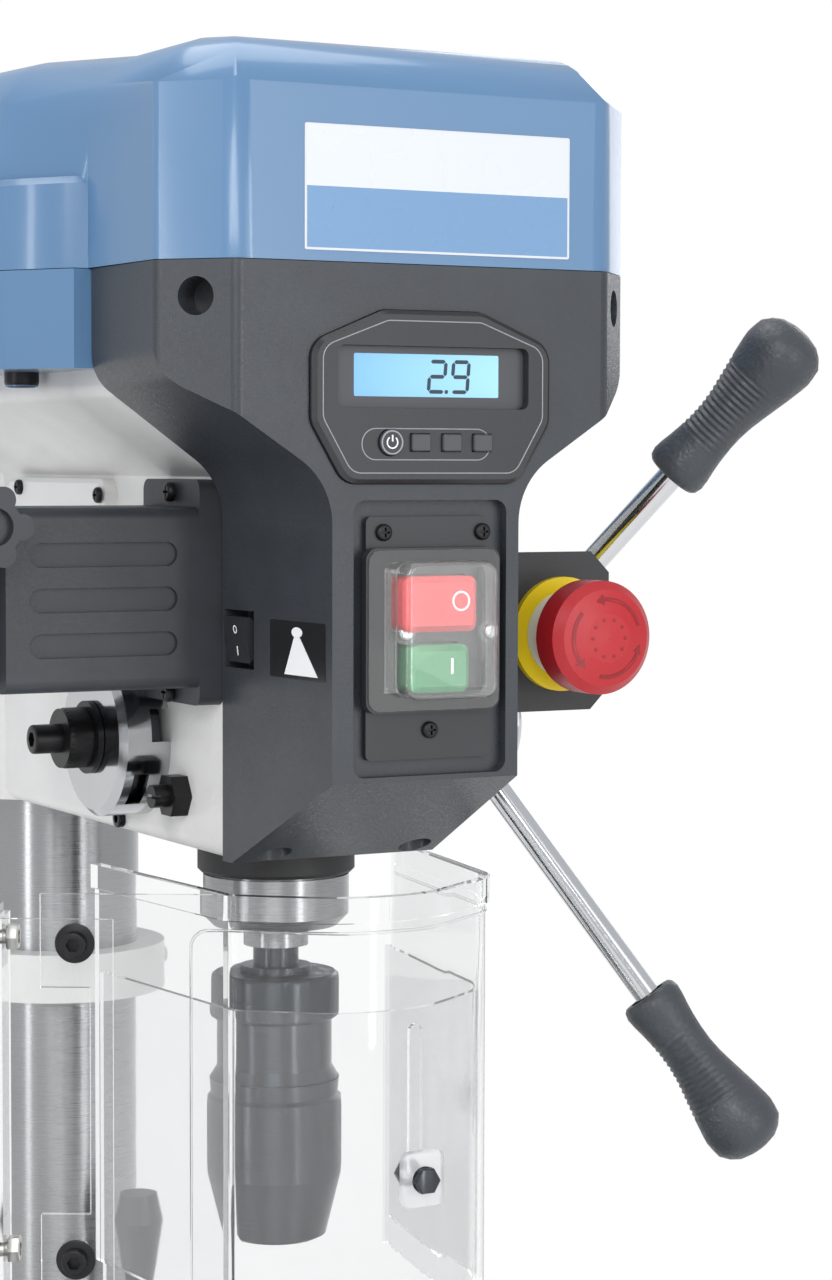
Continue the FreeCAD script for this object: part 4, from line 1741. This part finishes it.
# Return spring in its cap, and the quill's guide screw
def make_spring_cap():
    t = CAP_WALL
    c = CAP_ROUND
    hole = CAP_STUD_RADIUS + BODY_GAP
    cap = revolve([(CAP_RADIUS - t, 0), (CAP_RADIUS, 0), (CAP_RADIUS, CAP_DEPTH - c), (CAP_RADIUS - c, CAP_DEPTH),
                   (hole, CAP_DEPTH), (hole, CAP_DEPTH - t), (CAP_RADIUS - t, CAP_DEPTH - t)],
                  vec(-HEAD_HALF_WIDTH, FEED_Y, FEED_Z), vec(-1, 0, 0))
    y0 = FEED_Y - CAP_RADIUS - OVERRUN
    y1 = FEED_Y - CAP_RADIUS / 2
    x = -HEAD_HALF_WIDTH - CAP_NOTCH_DEPTH
    notch = block(x, -HEAD_HALF_WIDTH + OVERRUN, y0, y1, FEED_Z, FEED_Z + CAP_NOTCH)
    window = block(x - CAP_NOTCH / 2, x, y0, y1, FEED_Z - 2 * CAP_NOTCH, FEED_Z - CAP_NOTCH)
    return carve(cap, [notch, window])


def make_return_spring():
    # A flat strip wound from the shaft out to the cap's wall.
    steps = SPRING_TURNS * SPRING_STEPS
    reach = SPRING_OUTER_RADIUS - SPRING_INNER_RADIUS - SPRING_THICK
    sides = []
    for offset in (0, SPRING_THICK):
        points = []
        for k in range(steps + 1):
            angle = 2 * math.pi * SPRING_TURNS * k / steps
            r = SPRING_INNER_RADIUS + reach * k / steps + offset
            points.append(vec(0, r * math.cos(angle), r * math.sin(angle)))
        sides.append(points)
    loop = sides[0] + list(reversed(sides[1]))
    strip = Part.Face(Part.makePolygon(loop + [loop[0]])).extrude(vec(SPRING_WIDTH, 0, 0))
    return strip.translated(vec(-HEAD_HALF_WIDTH - SPRING_WIDTH - OVERRUN, FEED_Y, FEED_Z))


def make_spring_nut():
    face = -HEAD_HALF_WIDTH - CAP_DEPTH - BODY_GAP
    washer = face - CAP_WASHER
    parts = [along_x(FEED_Y, FEED_Z, CAP_WASHER_RADIUS, washer, face)]
    parts.append(along_x(FEED_Y, FEED_Z, CAP_NUT_RADIUS, nut_face(), washer))
    body = join(parts).cut(along_x(FEED_Y, FEED_Z, CAP_STUD_RADIUS, nut_face(), face + OVERRUN))
    head = along_x(FEED_Y, FEED_Z, CAP_SCREW_RADIUS, nut_face() - CAP_SCREW_HEAD, nut_face())
    return join([body, head])


def make_guide_screw():
    y = SPINDLE_Y + GUIDE_SCREW_Y
    z = HEAD_Z + GUIDE_SCREW_RISE
    outer = -HEAD_HALF_WIDTH - GUIDE_SCREW_PROUD
    shank_end = -QUILL_RADIUS - 2 * BODY_GAP
    screw = along_x(y, z, GUIDE_SCREW_RADIUS, outer, shank_end)
    tip = along_x(y, z, QUILL_KEYWAY / 2 - RUN_GAP, shank_end, -QUILL_RADIUS + QUILL_KEYWAY_DEPTH / 2)
    nut = slab_yz(hexagon(y, z, GUIDE_NUT_ACROSS), 0, -HEAD_HALF_WIDTH - GUIDE_NUT, -HEAD_HALF_WIDTH)
    slot = block(outer - OVERRUN, outer + GUIDE_SLOT_DEPTH, y - 2 * GUIDE_SCREW_RADIUS, y + 2 * GUIDE_SCREW_RADIUS,
                 z - GUIDE_SLOT / 2, z + GUIDE_SLOT / 2)
    return join([screw, tip, nut]).cut(slot)


# Guard arm box and side cover
def make_guard_arm_box():
    front = SPINDLE_Y - BOX_FRONT
    flange_x = -HEAD_HALF_WIDTH - BOX_FLANGE
    low = HEAD_Z + BOX_BOTTOM
    high = HEAD_Z + BOX_TOP
    box = slab_yz(rectangle(front, SPINDLE_Y + BOX_BACK, low, high), BOX_ROUND, -BOX_OUTER, flange_x)
    flange = slab_yz(rectangle(front, SPINDLE_Y + BOX_FLANGE_BACK, HEAD_Z + BOX_FLANGE_BOTTOM,
                               HEAD_Z + BOX_FLANGE_TOP), BOX_ROUND, flange_x, -HEAD_HALF_WIDTH)
    cuts = []
    pitch = (high - low - 2 * BOX_RIB_INSET) / BOX_RIBS
    for k in range(BOX_RIBS):
        z = low + BOX_RIB_INSET + pitch * (k + 0.5)
        outline = rectangle(-BOX_OUTER + BOX_RIB_INSET, flange_x - BOX_RIB_INSET, z - BOX_RIB_WIDTH / 2,
                            z + BOX_RIB_WIDTH / 2)
        cuts.append(slab_xz(outline, BOX_RIB_WIDTH / 2, front - OVERRUN, front + BOX_RIB_DEPTH))
    cuts.append(along_z(ROD_X, ROD_Y, CLAMP_RADIUS + BODY_GAP, low - OVERRUN, high + OVERRUN))
    return carve(join([box, flange]), cuts)


def make_side_cover():
    y0 = SPINDLE_Y + COVER_START
    face = -HEAD_HALF_WIDTH - COVER_THICK
    body = slab_yz(rectangle(y0, y0 + COVER_LENGTH, HEAD_Z + COVER_BOTTOM, HEAD_Z + COVER_TOP), COVER_ROUND,
                   face, -HEAD_HALF_WIDTH)
    return body.makeChamfer(COVER_BEVEL, edges_at(body, lambda e: e.BoundBox.XMax < face + BODY_GAP))


# Chuck guard: clamp, rod, strap, two clear shells and the star knob
def make_guard_clamp():
    low = HEAD_Z + CLAMP_BOTTOM
    high = HEAD_Z + CLAMP_TOP
    z = HEAD_Z + STAR_RISE
    body = along_z(ROD_X, ROD_Y, CLAMP_RADIUS, low, high)
    nose = along_y(ROD_X, z, CLAMP_NOSE_RADIUS, ROD_Y - CLAMP_NOSE, ROD_Y)
    bore = along_z(ROD_X, ROD_Y, ROD_RADIUS + RUN_GAP, low - OVERRUN, high + OVERRUN)
    stud = along_y(ROD_X, z, STAR_STUD_RADIUS + RUN_GAP, ROD_Y - CLAMP_NOSE - OVERRUN, ROD_Y)
    return carve(join([body, nose]), [stud, bore])


def make_guard_knob():
    z = HEAD_Z + STAR_RISE
    back = ROD_Y - CLAMP_NOSE - BODY_GAP
    front = back - STAR_THICK
    reach = STAR_RADIUS - STAR_LOBE_RADIUS
    parts = [along_y(ROD_X, z, reach, front, back)]
    for k in range(STAR_LOBES):
        angle = 2 * math.pi * k / STAR_LOBES
        parts.append(along_y(ROD_X + reach * math.cos(angle), z + reach * math.sin(angle), STAR_LOBE_RADIUS,
                             front, back))
    body = join(parts).cut(along_y(ROD_X, z, STAR_RECESS_RADIUS, front - OVERRUN, front + STAR_RECESS))
    return join([body, along_y(ROD_X, z, STAR_STUD_RADIUS, back, ROD_Y - ROD_RADIUS - BODY_GAP)])


def wing_slab(along, across, z0, z1):
    # A slab on the wing's line: along runs outwards from the left corner, across runs to the rear.
    angle = math.radians(GUARD_WING_ANGLE)
    d = (math.cos(angle), math.sin(angle))
    n = (d[1], -d[0])
    corner = (GUARD_CORNER_LEFT_X, SPINDLE_Y - GUARD_CORNER_LEFT_Y)
    points = []
    for a, c in ((along[0], across[0]), (along[1], across[0]), (along[1], across[1]), (along[0], across[1])):
        points.append((corner[0] + d[0] * a + n[0] * c, corner[1] + d[1] * a + n[1] * c))
    return slab_xy(points, 0, z0, z1)


def curtain_solid(shrink, z0, z1):
    # The guard's plan as a closed block, with both legs drawn on past their ends.
    left = unit((GUARD_CORNER_LEFT_X, -GUARD_CORNER_LEFT_Y), (GUARD_LEG_LEFT_X, GUARD_LEG_LEFT_Y))
    right = unit((GUARD_CORNER_RIGHT_X, -GUARD_CORNER_RIGHT_Y), (GUARD_LEG_RIGHT_X, GUARD_LEG_RIGHT_Y))
    reach = GUARD_NOSE_Y
    points = [(GUARD_LEG_LEFT_X + left[0] * reach, GUARD_LEG_LEFT_Y + left[1] * reach),
              (GUARD_CORNER_LEFT_X, -GUARD_CORNER_LEFT_Y), (GUARD_NOSE_LEFT, -GUARD_NOSE_Y),
              (GUARD_NOSE_RIGHT, -GUARD_NOSE_Y), (GUARD_CORNER_RIGHT_X, -GUARD_CORNER_RIGHT_Y),
              (GUARD_LEG_RIGHT_X + right[0] * reach, GUARD_LEG_RIGHT_Y + right[1] * reach)]
    placed = inset([(x, SPINDLE_Y + y) for x, y in points], shrink)
    rounds = [0, GUARD_ROUND - shrink, GUARD_NOSE_ROUND - shrink, GUARD_NOSE_ROUND - shrink,
              GUARD_SIDE_ROUND - shrink, 0]
    return slab_xy(placed, rounds, z0, z1)


def behind_legs(z0, z1):
    left = (GUARD_LEG_LEFT_X, SPINDLE_Y + GUARD_LEG_LEFT_Y)
    right = (GUARD_LEG_RIGHT_X, SPINDLE_Y + GUARD_LEG_RIGHT_Y)
    d = unit(left, right)
    reach = 2 * GUARD_NOSE_Y
    low = (left[0] - d[0] * reach, left[1] - d[1] * reach)
    high = (right[0] + d[0] * reach, right[1] + d[1] * reach)
    return slab_xy([low, high, (high[0], high[1] + 2 * reach), (low[0], low[1] + 2 * reach)], 0, z0, z1)


def nose_bolt_z():
    return GUARD_BOTTOM_Z + GUARD_NOSE_BOLT_RISE


def make_guard_shell():
    low = GUARD_BOTTOM_Z
    top = GUARD_TOP_Z
    shell = curtain_solid(0, low, top)
    band = curtain_solid(-GUARD_BAND_PROUD, top - GUARD_BAND, top)
    wing = wing_slab((0, GUARD_WING), (0, GUARD_WALL), low, top)
    body = join([shell, band, wing]).cut(curtain_solid(GUARD_WALL, low - OVERRUN, top + OVERRUN))
    gap_low = low + GUARD_BOLT_RISE + GUARD_TAB / 2
    gap_high = top - GUARD_BOLT_DROP - GUARD_TAB / 2
    cuts = [behind_legs(low - OVERRUN, top + OVERRUN)]
    cuts.append(wing_slab((GUARD_TAB_START, GUARD_WING + OVERRUN), (-OVERRUN, GUARD_WALL + OVERRUN),
                          gap_low, gap_high))
    cuts.append(along_y(GUARD_NOSE_BOLT_X, nose_bolt_z(), GUARD_BOLT_RADIUS, SPINDLE_Y - GUARD_NOSE_Y - OVERRUN,
                        SPINDLE_Y - GUARD_NOSE_Y + GUARD_WALL + OVERRUN))
    return carve(body, cuts)


def make_guard_inner():
    top = GUARD_TOP_Z - GUARD_INNER_DROP
    low = GUARD_BOTTOM_Z - GUARD_INNER_BELOW
    shrink = GUARD_WALL + GUARD_INNER_GAP
    body = curtain_solid(shrink, low, top)
    body = body.cut(curtain_solid(shrink + GUARD_INNER_WALL, low - OVERRUN, top + OVERRUN))
    outer_y = SPINDLE_Y - GUARD_NOSE_Y
    slot_low = nose_bolt_z() - GUARD_SLOT_WIDTH / 2
    slot = rectangle(GUARD_NOSE_BOLT_X - GUARD_SLOT_WIDTH / 2, GUARD_NOSE_BOLT_X + GUARD_SLOT_WIDTH / 2, slot_low,
                     slot_low + GUARD_SLOT_WIDTH + GUARD_INNER_TRAVEL)
    opening = slab_xz(slot, GUARD_SLOT_WIDTH / 2, outer_y, outer_y + 2 * shrink + GUARD_INNER_WALL + OVERRUN)
    return carve(body, [behind_legs(low - OVERRUN, top + OVERRUN), opening])


def make_guard_strap():
    low = GUARD_BOTTOM_Z + BODY_GAP
    top = GUARD_TOP_Z - GUARD_BAND - BODY_GAP
    face = GUARD_WALL + BODY_GAP
    plate = wing_slab((STRAP_START, STRAP_END), (face, face + STRAP), low, top)
    flange = wing_slab((STRAP_END - STRAP, STRAP_END), (face, face + STRAP_FLANGE), low, top)
    return join([plate, flange])


def make_guard_rod():
    rod = along_z(ROD_X, ROD_Y, ROD_RADIUS, HEAD_Z - ROD_BOTTOM, HEAD_Z + CLAMP_TOP + ROD_ABOVE)
    parts = [rod]
    reach = math.hypot(ROD_X - GUARD_CORNER_LEFT_X, GUARD_CORNER_LEFT_Y - ROD_FORWARD)
    start = STRAP_END + BODY_GAP
    for z in (GUARD_BOTTOM_Z + GUARD_BOLT_RISE, GUARD_TOP_Z - GUARD_BOLT_DROP):
        low = z - LUG_HEIGHT / 2
        high = z + LUG_HEIGHT / 2
        parts.append(wing_slab((start, start + LUG), (-LUG, GUARD_WALL + STRAP_FLANGE), low, high))
        parts.append(wing_slab((start, reach), (-LUG, LUG), low, high))
    return join(parts)


# Every piece and the file it is written to
def write_parts():
    makers = {
        "base": make_base, "column_foot": make_column_foot, "foot_bolts": make_foot_bolts, "column": make_column,
        "column_rack": make_column_rack, "rack_collar": make_rack_collar, "table_bracket": make_table_bracket,
        "work_table": make_work_table, "table_crank": make_table_crank, "table_lock": make_table_lock,
        "head_casting": make_head_casting, "front_casing": make_front_casing,
        "display_surround": make_display_surround, "display_screen": make_display_screen,
        "power_key": make_power_key, "switch_plate": make_switch_plate, "stop_bracket": make_stop_bracket,
        "stop_collar": make_stop_collar, "emergency_knob": make_emergency_knob, "lamp_rocker": make_lamp_rocker,
        "work_lamp": make_work_lamp, "belt_lid": make_belt_lid, "belt_pan": make_belt_pan,
        "spindle_pulley": make_spindle_pulley, "idler_pulley": make_idler_pulley, "idler_arm": make_idler_arm,
        "motor_pulley": make_motor_pulley, "drive_belts": make_drive_belts, "motor": make_motor,
        "motor_plate": make_motor_plate, "quill": make_quill, "quill_bearings": make_quill_bearings,
        "rubber_ring": make_rubber_ring, "spindle": make_spindle, "chuck_body": make_chuck_body,
        "chuck_sleeve": make_chuck_sleeve, "feed_shaft": make_feed_shaft, "feed_hub": make_feed_hub,
        "lever_rods": make_lever_rods, "lever_grips": make_lever_grips, "spring_cap": make_spring_cap,
        "return_spring": make_return_spring, "spring_cap_nut": make_spring_nut,
        "quill_guide_screw": make_guide_screw, "guard_arm_box": make_guard_arm_box, "side_cover": make_side_cover,
        "guard_clamp": make_guard_clamp, "guard_knob": make_guard_knob, "guard_rod": make_guard_rod,
        "guard_strap": make_guard_strap, "guard_shell": make_guard_shell, "guard_inner": make_guard_inner,
    }
    shapes = {name: make() for name, make in makers.items()}
    shapes["stop_button"] = make_button(stop_room(0))
    shapes["start_button"] = make_button(start_room(0))
    for name, x in zip(("mode_key", "unit_key", "zero_key"), key_places()):
        shapes[name] = make_key(x)
    for k in range(JAWS):
        shapes["jaw_" + str(k + 1)] = make_jaw(k)
    os.makedirs("parts", exist_ok=True)
    for name, shape in shapes.items():
        shape.exportStep(os.path.join("parts", name + ".step"))


write_parts()
